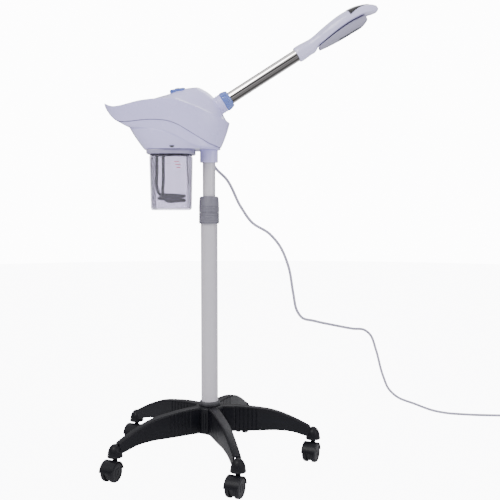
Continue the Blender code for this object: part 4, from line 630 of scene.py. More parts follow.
# ================================ Cord =========================================================
@dataclass
class SupplyCord:
    """The mains cord from its strain relief to its plug, with two stored turns lying on the floor."""

    radius: float = 0.00325
    coil_centre: tuple = (0.800, 0.318)
    coil_radius: float = 0.036
    boot_radius: float = 0.0044
    relief_foot: tuple = (-0.006, 0.036, 0.0267)
    relief_heading: tuple = (0.50, 0.06, -0.864)
    relief_length: float = 0.027
    route: tuple = (
        (0.035, 0.048, 0.615), (0.067, 0.058, 0.553), (0.091, 0.068, 0.519), (0.130, 0.086, 0.493),
        (0.153, 0.102, 0.466), (0.175, 0.121, 0.415), (0.187, 0.135, 0.350), (0.196, 0.146, 0.309),
        (0.208, 0.158, 0.291), (0.239, 0.182, 0.279), (0.294, 0.228, 0.261), (0.341, 0.273, 0.246),
        (0.377, 0.311, 0.236), (0.395, 0.332, 0.219), (0.412, 0.353, 0.177), (0.435, 0.375, 0.102),
        (0.452, 0.384, 0.065), (0.474, 0.389, 0.044), (0.522, 0.392, 0.024), (0.570, 0.385, 0.008))
    floor_route: tuple = ((0.612, 0.372), (0.668, 0.360), (0.730, 0.355))

    def heading(self) -> Array:
        """The unit direction in which the relief points."""
        return np.array(self.relief_heading) / np.linalg.norm(self.relief_heading)

    def relief(self, material: bpy.types.Material) -> tuple[bpy.types.Object, Array]:
        """The tapered strain relief with moulded flex rings.

        Returns:
            The piece and the point where the bare cord starts.
        """
        foot = np.array(self.relief_foot)
        bend = foot + (0.0, 0.0, -0.006)
        tip = bend + self.heading() * (self.relief_length - 0.006)
        path = spline([tuple(foot), tuple(bend), tuple(tip)], 90)
        share = np.linspace(0, 1, 90)
        ribs = 0.00045 * smooth(0.15, 0.25, share) * (np.cos(share * 2 * math.pi * 9) > 0.1)
        radii = 0.0060 + (self.radius + 0.0006 - 0.0060) * share - ribs
        rings = carried(path + HEAD_FOOT, circle(radii, 40))
        obj = Piece.make("strain_relief_fine", [rings], material, "head", ("strain_relief",), "cord_white")
        return obj, tip + self.heading() * GAP + (0.0, 0.0, HEAD_Z)

    def line(self, start: Array) -> Array:
        """The cord's centre line, in the frame: the free route, two turns, and the run to the plug.

        The turns are a helix: centre + R (sin a, cos a) with a from 0 to two turns. The first lies on the
        floor and climbs one layer over its last fifth, where the second keeps a cord's width inside it.
        """
        floor = self.radius + GAP
        cx, cy = self.coil_centre
        route = [tuple(start), tuple(start + self.heading() * 0.012), *self.route]
        route += [(x, y, floor) for x, y in self.floor_route]
        entry_x = cx - 0.0220
        route += [(entry_x - 0.008, cy + self.coil_radius, floor), (entry_x, cy + self.coil_radius, floor)]
        free = spline(route, 420)
        free[:, 2] = np.maximum(free[:, 2], floor)
        angle = np.linspace(0.0, 4 * math.pi, 150)
        rise = smooth(1.55 * math.pi, 1.98 * math.pi, angle)
        inward = (smooth(3.35 * math.pi, 3.60 * math.pi, angle)
                  * (1 - smooth(3.80 * math.pi, 4.0 * math.pi, angle)))
        reach = self.coil_radius - 2 * self.radius * inward
        turns = np.stack([cx + reach * np.sin(angle), cy + reach * np.cos(angle),
                          floor + 2 * self.radius * rise], axis=1)
        boot_x = math.sqrt((self.coil_radius + self.radius) ** 2
                           - (self.coil_radius - self.boot_radius) ** 2) + GAP
        end = np.array([cx + boot_x, cy + self.coil_radius, 0.0138 / 2 + GAP])
        share = np.linspace(0, 1, 14)[1:, None]
        last = turns[-1] + (end - turns[-1]) * share
        last[:, 2] = turns[-1, 2] + (end[2] - turns[-1, 2]) * smooth(0.0, 1.0, share[:, 0])
        return np.concatenate([free, turns[1:], last]) + POLE

    def plug(self, material: bpy.types.Material) -> bpy.types.Object:
        """The flat two-pin plug: a superellipse section that swells from the boot to the body.

        Half widths follow listed stations; the section is |y/a|^3.2 + |z/b|^3.2 = 1.
        """
        stations = np.linspace(0.0, 1.0, 80)
        reach = 0.054 * stations
        wide = through([(0, 0.0044), (0.016, 0.0060), (0.019, 0.0080), (0.027, 0.0112), (0.034, 0.01275),
                        (0.048, 0.01275), (0.0525, 0.0124), (0.054, 0.0112)], reach)
        high = through([(0, 0.0044), (0.016, 0.0056), (0.020, 0.0063), (0.028, 0.0069), (0.048, 0.0069),
                        (0.0525, 0.0066), (0.054, 0.0056)], reach)
        ribs = 0.0004 * (np.sin(reach * 2 * math.pi / 0.0026) > 0.0) * (reach < 0.0155) * (reach > 0.002)
        angle = around(64)
        c, s = signed_power(np.cos(angle), 2 / 3.2), signed_power(np.sin(angle), 2 / 3.2)
        grip = 0.0005 * ((np.sin(reach * 2 * math.pi / 0.004) > 0.3) & (reach > 0.030) & (reach < 0.047))
        across = (wide - ribs)[:, None] * c - (grip[:, None] * np.abs(c) ** 3) * np.sign(c)
        up = (high - ribs)[:, None] * s
        boot_x = math.sqrt((self.coil_radius + self.radius) ** 2
                           - (self.coil_radius - self.boot_radius) ** 2) + GAP
        start = np.array([self.coil_centre[0] + boot_x, self.coil_centre[1] + self.coil_radius,
                          0.0069 + GAP]) + POLE
        rings = np.stack([np.repeat(reach[:, None], 64, 1), across, up], axis=-1) + start
        return Piece.make("plug_body_fine", [rings], material, "mast_bush", ("plug_body",), "cord_white")

    def build(self, palette: Palette, nodes: dict) -> None:
        material = palette.cord.build()
        relief, start = self.relief(material)
        line = self.line(start)
        rings = carried(line, circle(self.radius, 20))
        cord = Piece.make("cord_fine", [rings], material, "", ("cord", "cord_coil"), "cord_white")
        plug = self.plug(material)
        for name in ("plug_pin_a", "plug_pin_b"):
            nodes[name].data.materials.clear()
            nodes[name].data.materials.append(palette.pin.build())
        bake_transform(cord)


# ================================ Base and castors =============================================
@dataclass
class StarBase:
    """The moulded base: a fluted hub, five channel-shaped legs and the domes over the castor stems."""

    legs: int = LEG_COUNT
    reach: float = STEM_CIRCLE
    hub_radius: float = 0.033
    lip: float = 0.0467
    hub_height: float = 0.0745
    seat_foot: float = 0.0689
    bore: float = 0.0185
    stem_bore: float = 0.0043
    width_root: float = 0.0236
    width_tip: float = 0.0168
    wall: float = 0.0032
    bevel: float = 0.0035
    dome_radius: float = 0.0158
    dome_height: float = 0.027
    drop: tuple = ((0.0, 0.0), (0.39, 0.003), (0.66, 0.0135), (0.80, 0.026), (0.90, 0.037), (1.0, 0.0495))
    rise: tuple = ((0.0, 0.0180), (0.45, 0.0195), (0.66, 0.0205), (0.80, 0.0170), (0.93, 0.0080),
                   (1.0, 0.0045))

    def hub(self) -> Array:
        """The hub turned round the pole, with shallow upright flutes cut by |cos|^12 of the angle."""
        foot, top, r = self.lip + 0.008, self.lip + self.hub_height, self.hub_radius
        profile = [(0.0, foot), (0.009, foot), (0.012, foot + 0.004), (0.012, self.lip + 0.016),
                   (r - 0.003, self.lip + 0.016), (r, self.lip + 0.019)]
        profile += [(r, z) for z in np.linspace(self.lip + 0.024, top - 0.008, 14)]
        profile += [(r, top - 0.004), (r - 0.004, top), (self.bore, top), (self.bore, self.seat_foot),
                    (0.0, self.seat_foot)]
        rings = lathe(fillet(np.array(profile), 0.002), 320)
        flute = np.abs(np.cos(around(320) * 16)) ** 12
        height = rings[..., 2]
        window = (smooth(self.lip + 0.024, self.lip + 0.030, height)
                  * (1 - smooth(top - 0.014, top - 0.009, height)))
        depth = 0.0009 * flute[None, :] * window * (np.hypot(rings[..., 0], rings[..., 1]) > r - 0.001)
        rings[..., :2] *= (1 - depth / r)[..., None]
        return rings

    def leg(self, turn: float) -> Array:
        """One leg: a channel section, open below, whose top edges are quarter circles."""
        reach = np.linspace(self.bore + 0.0015, self.reach - 0.0062, 220)
        share = reach / self.reach
        half = (self.width_root + (self.width_tip - self.width_root) * share) / 2
        band = smooth(0.050, 0.054, reach) * (1 - smooth(0.104, 0.108, reach))
        half = half - 0.0010 * smooth(0.55, 0.95, np.cos((reach - 0.056) * 2 * math.pi / 0.0092)) * band
        top = self.lip + self.hub_height - through(list(self.drop), share)
        bottom = self.lip + through(list(self.rise), share)
        roof = np.maximum(top - self.wall, bottom + 0.0015)
        arc = np.radians(np.linspace(0, 90, 6))
        cols = [(-half, bottom), (self.wall - half, bottom), (self.wall - half, roof),
                (half - self.wall, roof), (half - self.wall, bottom), (half, bottom)]
        cols += [(half - self.bevel * (1 - math.cos(a)), top - self.bevel * (1 - math.sin(a))) for a in arc]
        cols += [(self.bevel * (1 - math.cos(a)) - half, top - self.bevel * (1 - math.sin(a)))
                 for a in arc[::-1]]
        rings = np.stack([np.stack([reach, y, z], axis=-1) for y, z in cols], axis=1)
        return turn_z(rings, turn)

    def dome(self, turn: float) -> Array:
        """One dome over a castor stem, bored for the stem from below."""
        r, z = self.dome_radius, self.lip
        arc = np.radians(np.linspace(8, 88, 14))
        profile = [(0.0, z + self.dome_height)]
        profile += [((r - 0.0008) * math.cos(a), z + 0.005 + (self.dome_height - 0.005) * math.sin(a))
                    for a in arc[::-1]]
        profile += [(r - 0.0006, z + 0.0042), (r, z + 0.0036), (r, z + 0.0004), (r - 0.0004, z),
                    (self.stem_bore, z), (self.stem_bore, z + 0.0148), (0.0, z + 0.0148)]
        return lathe(np.array(profile), 72) + (self.reach * math.cos(turn), self.reach * math.sin(turn), 0.0)

    def build(self, palette: Palette) -> None:
        """Makes the base in one piece."""
        turns = around(self.legs)
        solids = [self.hub() + POLE]
        solids += [self.leg(t) + POLE for t in turns] + [self.dome(t) + POLE for t in turns]
        Piece.make("star_base_fine", solids, palette.base.build(), "base", ("star_base",), "base_black")


@dataclass
class Castor:
    """One hooded twin-wheel castor."""

    number: int
    heading: float = math.radians(-112.0)
    reach: float = STEM_CIRCLE
    trail: float = 0.014
    wheel: float = 0.0206
    hood: float = 0.0226
    hood_wall: float = 0.0014
    web: float = 0.0100
    width: float = 0.0306
    stem: float = 0.0040
    axle: float = 0.0033

    def place(self, points: Array) -> Array:
        """Points of the castor's own frame, turned to its heading under its leg."""
        turn = (self.number - 1) * 2 * math.pi / LEG_COUNT
        stem = (self.reach * math.cos(turn), self.reach * math.sin(turn), 0.0)
        return turn_z(points, self.heading) + POLE + stem

    def across(self, outline: Array, width: float, bevel: float) -> Array:
        """An (x, z) outline extruded along the axle, its end rings drawn in by a bevel."""
        centre = outline.mean(axis=0)
        size = np.abs(outline - centre).max()
        drawn = centre + (outline - centre) * (1 - bevel / size)
        rows = [(drawn, -width / 2), (outline, bevel - width / 2), (outline, width / 2 - bevel),
                (drawn, width / 2)]
        rings = [np.stack([self.trail + o[:, 0], np.full(len(o), y), self.wheel + o[:, 1]], axis=1)
                 for o, y in rows]
        return np.stack(rings)

    def housing(self) -> list[Array]:
        """Hood, web and stem of the housing."""
        arc = np.radians(np.linspace(6, 174, 48))
        unit = np.stack([np.cos(arc), np.sin(arc)], axis=1)
        rows = [(-self.width / 2, 0.0003), (0.0004 - self.width / 2, 0.0), (self.width / 2 - 0.0004, 0.0),
                (self.width / 2, 0.0003)]
        rings = []
        for y, draw in rows:
            o = np.concatenate([unit * (self.hood - draw), unit[::-1] * (self.hood - self.hood_wall + draw)])
            rings.append(np.stack([self.trail + o[:, 0], np.full(len(o), y), self.wheel + o[:, 1]], axis=1))
        low = np.radians(np.linspace(200, 340, 24))
        high = np.radians(np.linspace(10, 170, 24))
        reach = self.hood - self.hood_wall / 2
        web = np.concatenate([(self.wheel - 0.003) * np.stack([np.cos(low), np.sin(low)], axis=1),
                              reach * np.stack([np.cos(high), np.sin(high)], axis=1)])
        top = 2 * self.wheel + 0.0020
        post = [(0.0, top - 0.006), (self.web / 2, top - 0.006), (self.web / 2, top),
                (self.stem, top + 0.0003), (self.stem, top + 0.0174), (self.stem - 0.0006, top + 0.018),
                (0.0, top + 0.018)]
        return [self.place(np.stack(rings)), self.place(self.across(web, self.web, 0.0005)),
                self.place(lathe(np.array(post), 40))]

    def tyre(self, side: int) -> Array:
        """One wheel: a turned tread with a fine groove, a rounded shoulder and a dished hub cap."""
        near, r = self.web / 2 + GAP, self.wheel
        far = near + 0.0100
        rim = [(0.0, far - 0.0017), (self.axle, far - 0.0017), (self.axle, near), (r - 0.0006, near),
               (r, near + 0.0006), (r, near + 0.0042), (r - 0.0004, near + 0.0045),
               (r - 0.0004, near + 0.0049), (r, near + 0.0052), (r, far - 0.0040), (r - 0.0016, far - 0.0012),
               (r - 0.0046, far), (r - 0.0058, far - 0.0001), (r - 0.0062, far - 0.0009),
               (0.0086, far - 0.0011), (0.0078, far - 0.0004), (0.0052, far - 0.0002), (0.0046, far - 0.0010),
               (0.0, far - 0.0008)]
        rings = lathe(np.array([(a, side * b) for a, b in rim]), 72, along="x")[..., [1, 0, 2]]
        return self.place(rings + (self.trail, 0.0, self.wheel))

    def build(self, palette: Palette) -> None:
        """Makes the housing and the two wheels."""
        body = f"castor_{self.number}"
        Piece.make(f"{body}_housing_fine", self.housing(), palette.castor.build(), body, (f"{body}_housing",),
                   "castor_black")
        for side, name in ((1, "left"), (-1, "right")):
            Piece.make(f"{body}_wheel_{name}_fine", [self.tyre(side)], palette.wheel.build(),
                       f"{body}_wheels", (f"{body}_wheel_{name}",), "wheel_black")


# ================================ Mast =========================================================
@dataclass
class Mast:
    """Lower pole, foot ring, collar, clamp nut and the sliding upper pole."""

    foot: float = 0.0692
    top: float = 0.5416
    radius: float = 0.0182
    wall: float = 0.0015
    mast_radius: float = 0.0137
    collar: float = 0.0221
    collar_height: float = 0.0239
    nut_height: float = 0.0346
    nut_top: float = 0.0207
    thread: float = 0.0183
    hub_top: float = 0.1212

    def ringed(self, radius: float, low: float, high: float,
               pitch: float = 0.0050) -> list[tuple[float, float]]:
        """A turned wall with fine grooves: the radius less 0.8 mm wherever a sine of the height is high."""
        z = np.linspace(low, high, int((high - low) / 0.00016))
        groove = 0.0008 * smooth(0.80, 0.95, np.sin((z - low) * 2 * math.pi / pitch))
        return list(zip(radius - groove, z))

    def build(self, palette: Palette) -> None:
        """Makes the five turned pieces."""
        inner, bore = self.radius - self.wall, self.radius + GAP
        tube = [(self.radius, self.foot), (self.radius, self.top - 0.0003), (self.radius - 0.0003, self.top),
                (inner, self.top), (inner, self.foot)]
        self.turned("lower_pole_fine", tube, palette.pole, "base", "lower_pole")
        z = self.hub_top + GAP
        ring = fillet(np.array([(bore, z), (bore + 0.0045, z), (bore + 0.0045, z + 0.0054),
                                (bore + 0.0022, z + 0.009), (bore, z + 0.009)]), 0.0012)
        self.turned("pole_foot_ring_fine", ring, palette.rubber, "base", "pole_foot_ring")
        low = self.top - self.collar_height
        sleeve = [(bore, low), (self.collar - 0.0010, low), (self.collar - 0.0002, low + 0.0005)]
        sleeve += self.ringed(self.collar, low + 0.0012, self.top - 0.0010)
        sleeve += [(self.collar - 0.0004, self.top), (self.thread, self.top), (self.thread, self.top + 0.015)]
        sleeve += [(self.mast_radius + GAP, self.top + 0.015), (self.mast_radius + GAP, self.top + GAP)]
        sleeve += [(bore, self.top + GAP)]
        self.turned("collar_sleeve_fine", sleeve, palette.collar, "base", "collar_sleeve")
        f, h, m = self.top + GAP, self.nut_height, self.mast_radius + GAP
        nut = [(self.thread + GAP, f), (self.collar - 0.0004, f), (self.collar, f + 0.0005)]
        nut += self.ringed(self.collar, f + 0.0010, f + h * 0.45)
        nut += [(self.collar - 0.0007, f + h * 0.50), (self.collar - 0.0004, f + h * 0.54)]
        shares = np.linspace(0, 1, 24)[1:]
        nut += [(self.collar - 0.0004 + (self.nut_top - self.collar + 0.0004) * s**1.3, f + h * 0.54
                 + (h * 0.46 - 0.004) * s) for s in shares]
        nut += [(self.nut_top - 0.0008, f + h - 0.0018), (self.nut_top - 0.003, f + h), (m, f + h)]
        nut += [(m, f + 0.0153), (self.thread + GAP, f + 0.0153)]
        self.turned("clamp_nut_fine", nut, palette.collar, "clamp", "clamp_nut")
        low, high = HEAD_Z - 0.0721 - self.nut_height - 0.31, HEAD_Z + 0.060
        mast = [(self.mast_radius, low), (self.mast_radius, high), (self.mast_radius - 0.0015, high),
                (self.mast_radius - 0.0015, low)]
        self.turned("upper_pole_fine", mast, palette.mast, "head", "upper_pole")

    @staticmethod
    def turned(name: str, profile: object, finish: Finish, body: str, node: str) -> None:
        """One closed outline turned round the pole's axis."""
        Piece.make(name, [lathe(np.array(profile), 128) + POLE], finish.build(), body, (node,), finish.slot,
                   ends=Ends.JOINED)


# ================================ Head =========================================================
RIDGE_LINE = [(-0.225, 0.1275), (-0.205, 0.1190), (-0.188, 0.1185), (-0.165, 0.1220), (-0.140, 0.1262),
              (-0.115, 0.1282), (-0.090, 0.1290), (-0.070, 0.1277), (-0.050, 0.1220), (-0.025, 0.1130),
              (0.005, 0.1003), (0.030, 0.0900), (0.045, 0.0845)]
HUMP_LINE = [(-0.225, 0.0), (-0.190, -0.0020), (-0.150, -0.0010), (-0.125, 0.0035), (-0.105, 0.0100),
             (-0.080, 0.0184), (-0.052, 0.0345), (-0.036, 0.0425), (-0.022, 0.0481), (-0.008, 0.0478),
             (0.004, 0.0447), (0.014, 0.0385), (0.024, 0.0285), (0.031, 0.0130), (0.038, 0.0030),
             (0.045, 0.0)]
LIP_LINE = [(-0.218, 0.1090), (-0.211, 0.1020), (-0.202, 0.0935), (-0.193, 0.0878), (-0.180, 0.0850),
            (-0.160, 0.0850), (-0.126, 0.0868), (-0.100, 0.0860), (-0.080, 0.0833), (-0.060, 0.0762),
            (-0.040, 0.0647), (-0.015, 0.0497), (0.005, 0.0385), (0.023, 0.0320)]
KNEE_LINE = [(-0.172, 0.0785), (-0.160, 0.0725), (-0.130, 0.0692), (-0.100, 0.0655), (-0.075, 0.0575),
             (-0.050, 0.0452), (-0.030, 0.0350), (-0.010, 0.0298), (0.021, 0.0285)]


def oval(angle: Array, centre: float, half_length: float, half_width: float,
         power: float) -> tuple[Array, Array]:
    """A plan outline between an ellipse and a rectangle: cos and sin to the power 2/n, sign kept."""
    return (centre + half_length * signed_power(np.cos(angle), 2 / power),
            half_width * signed_power(np.sin(angle), 2 / power))


def flat_ring(x: Array, y: Array, z: Array | float) -> Array:
    """Three coordinates stacked into one ring of points."""
    return np.stack([x, y, np.broadcast_to(z, x.shape)], axis=-1)


@dataclass
class Head:
    """The two white shells, the jar ring and the control panel."""

    segments: int = 200
    wall: float = 0.0024
    power: float = 0.25
    floor: float = 0.0272
    jar_x: float = -0.0810
    cavity: float = 0.0443
    socket: float = 0.0195
    spigot: float = 0.0161
    mast: float = 0.0140
    panel: tuple = (-0.0655, 0.1546)
    panel_tilt: float = math.radians(9.8)
    panel_size: tuple = (0.034, 0.056, 0.0075)

    def ridge_width(self, x: Array) -> Array:
        """Half the width at the ridge: W sqrt(1-s^2) ((1+s)/2)^p, with s the place along the ridge."""
        share = np.clip((x + 0.090) / 0.135, -1, 1)
        return 0.087 * np.sqrt(1 - share**2) * ((1 + share) / 2) ** self.power

    def deck(self, x: Array, y: Array) -> Array:
        """Height of the top: the ridge line, plus the hump line times (1 - s^2)^1.5 across."""
        share = np.clip(np.abs(y) / np.maximum(self.ridge_width(x), 1e-4), 0, 1)
        return through(RIDGE_LINE, x) + through(HUMP_LINE, x) * (1 - share**2) ** 1.5

    def teardrop(self, centre: float, length: float, width: float) -> tuple[Array, Array]:
        """A plan outline blunt at +X that narrows to a beak at -X."""
        a = around(self.segments)
        return centre + length * np.cos(a), width * np.sin(a) * ((1 + np.cos(a)) / 2) ** self.power

    def deck_rings(self, count: int, inset: float) -> list[Array]:
        """Rings of the top from near its middle out to the ridge, with the panel's recess pressed in."""
        edge_x, edge_y = self.teardrop(-0.090, 0.135 - 3.2 * inset, 0.087 - inset)
        rings = []
        for share in np.linspace(0.0, 1.0, count + 1)[1:] ** 0.9:
            x, y = -0.030 + share * (edge_x + 0.030), share * edge_y
            z = self.deck(x, y) - 1.05 * inset
            cos, sin = math.cos(self.panel_tilt), math.sin(self.panel_tilt)
            along = (x - self.panel[0]) * cos + (z - self.panel[1]) * sin
            plane = self.panel[1] + (x - self.panel[0]) * math.tan(self.panel_tilt) - 0.0010 - inset
            reach = ((np.abs(along) / (self.panel_size[0] / 2)) ** 5
                     + (np.abs(y) / (self.panel_size[1] / 2)) ** 5) ** 0.2
            press = 1 - smooth(0.97, 1.035, reach)
            rings.append(flat_ring(x, y, z * (1 - press) + np.minimum(z, plane) * press))
        return rings

    def lip(self, inset: float, lower: float) -> Array:
        """The parting line between the shells, moved inwards and down."""
        x, y = self.teardrop(-0.0955, 0.1220 - 1.6 * inset, 0.0825 - inset)
        return flat_ring(x, y, through(LIP_LINE, x) - lower)

    @staticmethod
    def between(a: Array, b: Array, share: float, bulge: float, centre: float) -> Array:
        """A ring part of the way from one to another, swollen by 1 + 4 bulge s (1-s)."""
        ring = a + (b - a) * share
        swell = 1 + bulge * 4 * share * (1 - share)
        return np.stack([centre + (ring[:, 0] - centre) * swell, ring[:, 1] * swell, ring[:, 2]], axis=-1)

    def upper_shell(self, material: bpy.types.Material) -> None:
        """The top cover: deck, soft ridge, side band and rolled lip, with its inner face."""
        deck = self.deck_rings(64, 0.0)
        lip = self.lip(0.0, 0.0)
        band = [self.between(deck[-1], lip, s, 0.012, -0.0955) for s in np.linspace(0, 1, 18)[1:-1]]
        inner_deck = self.deck_rings(30, self.wall)
        inner_lip = self.lip(self.wall, 0.0)
        inner = [self.between(inner_deck[-1], inner_lip, s, 0.012, -0.0955) for s in (0.25, 0.5, 0.75)]
        turned = fillet(np.stack([band[-1], lip, inner_lip, inner[-1]]), 0.0007, 4)
        soft = fillet(np.stack([deck[-2], deck[-1], band[0], band[1]]), 0.0022, 6)
        rings = np.concatenate([np.stack(deck[:-2]), soft[:-1], np.stack(band[1:-1]), turned,
                                np.stack(inner[:2][::-1]), np.stack(inner_deck[::-1])])
        Piece.make("upper_shell_fine", [rings + HEAD_FOOT], material, "head", ("upper_shell",),
                   "shell_white", sharp=55)

    def lower_wall(self, inset: float) -> Array:
        """The bowl's wall from its rim down to the floor's edge, with a styling groove on the knee."""
        angle = around(self.segments)
        rim = self.lip(0.0013 + inset, 0.0011)
        x, y = oval(angle, -0.0739, 0.0979 - inset, 0.0660 - inset, 2.3)
        knee = flat_ring(x, y, through(KNEE_LINE, x) + 0.9 * inset)
        x, y = oval(angle, -0.05915, 0.07865 - inset, 0.0555 - inset, 3.0)
        floor = flat_ring(x, y, self.floor + (self.wall if inset else 0.0))
        upper = [self.between(rim, knee, s, 0.010, -0.0739) - (0, 0, 0.0048 * s * (1 - s))
                 for s in np.linspace(0, 1, 22)]
        lower = [self.between(knee, floor, s, 0.020, -0.05915) for s in np.linspace(0, 1, 34)]
        if not inset:
            near = self.between(rim, knee, 0.965, 0.010, -0.0739)
            sunk = knee.copy()
            sunk[:, 0] = -0.0739 + (sunk[:, 0] + 0.0739) * 0.990
            sunk[:, 1] *= 0.988
            upper = upper[:-1] + [near, sunk]
            lower = lower[1:]
        rings = upper + lower[1:] if inset else upper + lower
        return np.stack(rings)

    def lower_shell(self, material: bpy.types.Material) -> None:
        """The bowl with its beak floor, jar opening and pole socket."""
        angle = around(self.segments)
        outer, inner = self.lower_wall(0.0), self.lower_wall(self.wall)
        hx, hy = self.jar_x + self.cavity * np.cos(angle), self.cavity * np.sin(angle)
        low, high = flat_ring(hx, hy, self.floor), flat_ring(hx, hy, self.floor + self.wall - 0.0002)
        edge = fillet(np.stack([outer[-2], outer[-1], low]), 0.003, 7)
        loop = np.concatenate([outer[:-2], edge, high[None], inner[::-1]])
        profile = [(self.mast, 0.0), (self.socket - 0.001, 0.0), (self.socket, 0.001), (self.socket, 0.027),
                   (self.spigot, 0.0282), (self.spigot, 0.045), (self.mast, 0.045)]
        socket = lathe(fillet(np.array(profile), 0.0008), 128)
        shift = HEAD_FOOT
        Piece.make("lower_shell_fine", [loop + shift], material, "head", ("lower_shell",), "shell_white",
                   ends=Ends.JOINED, sharp=50)
        Piece.make("pole_socket_fine", [socket + shift], material, "head", (), "shell_white",
                   ends=Ends.JOINED)

    def recess_shade_patch(self, palette: Palette) -> None:
        """A small dark half-round plate on the front of the bowl's floor edge: painted shade standing for the
        shadowed inside of a recess.
        """
        a = np.radians(np.linspace(180, 360, 24))
        outline = np.stack([0.0052 * np.cos(a), 0.0040 * np.sin(a)], axis=1)
        rings = [np.stack([-0.0730 + outline[:, 0], np.full(24, y), 0.0330 + outline[:, 1]], axis=1)
                 for y in (-0.0600, -0.0560)]
        # painted shade: a thin near-black plate where a recess's shade would be
        Piece.make("recess_shade_patch_fine", [np.stack(rings) + HEAD_FOOT], palette.groove.build(), "head", (),
                   "collar_grey")

    def panel_slab(self, palette: Palette) -> None:
        """The translucent panel with a softly rounded top edge and holes round its buttons and lamp."""
        angle = around(160, 0.5)
        x, y = oval(angle, 0.0, self.panel_size[0] / 2, self.panel_size[1] / 2, 5.0)
        outline = np.stack([x, y], axis=1)
        rows = [(0.97, -self.panel_size[2]), (1.0, 0.0005 - self.panel_size[2]), (1.0, -0.0014),
                (0.992, -0.0006), (0.975, -0.0002), (0.955, 0.0), (0.5, 0.0001), (0.02, 0.0001)]
        rings = np.stack([np.column_stack([outline * k, np.full(160, z)]) for k, z in rows])
        place = tilt_y(rings, -self.panel_tilt) + (self.panel[0], 0.0, self.panel[1]) + HEAD_FOOT
        obj = Piece.make("control_panel_fine", [place], palette.blue.build(), "head", ("control_panel",),
                         "translucent_blue", sharp=40)
        for side, radius in ((-0.015, 0.0058), (0.015, 0.0058), (0.0, 0.0025)):
            pin = lathe(np.array([(radius, -0.02), (radius, 0.02)]), 48) + (0.0, side, 0.0)
            pin = tilt_y(pin, -self.panel_tilt) + (self.panel[0], 0.0, self.panel[1]) + HEAD_FOOT
            drill_holes(obj, pin)

    def build(self, palette: Palette) -> None:
        """Makes the shells, the plate of painted recess shade and the panel."""
        white = palette.shell.build()
        self.upper_shell(white)
        self.lower_shell(white)
        self.recess_shade_patch(palette)
        self.panel_slab(palette)


def drill_holes(obj: bpy.types.Object, pin: Array) -> None:
    """Cuts one closed form out of a piece with an exact boolean, applied at once."""
    mesh = bpy.data.meshes.new("drill")
    mesh.from_pydata(pin.reshape(-1, 3), [], Piece.skin_faces(*pin.shape[:2], Ends.CAPPED))
    work = bmesh.new()
    work.from_mesh(mesh)
    bmesh.ops.recalc_face_normals(work, faces=work.faces)
    work.to_mesh(mesh)
    work.free()
    cutter = bpy.data.objects.new("drill", mesh)
    bpy.context.scene.collection.objects.link(cutter)
    modifier = obj.modifiers.new("drill", "BOOLEAN")
    modifier.object, modifier.operation, modifier.solver = cutter, "DIFFERENCE", "EXACT"
    graph = bpy.context.evaluated_depsgraph_get()
    result = bpy.data.meshes.new_from_object(obj.evaluated_get(graph), depsgraph=graph)
    obj.modifiers.clear()
    old, obj.data = obj.data, result
    bpy.data.meshes.remove(old)
    bpy.data.objects.remove(cutter)
    result.shade_smooth()
    result.set_sharp_from_angle(angle=math.radians(32))


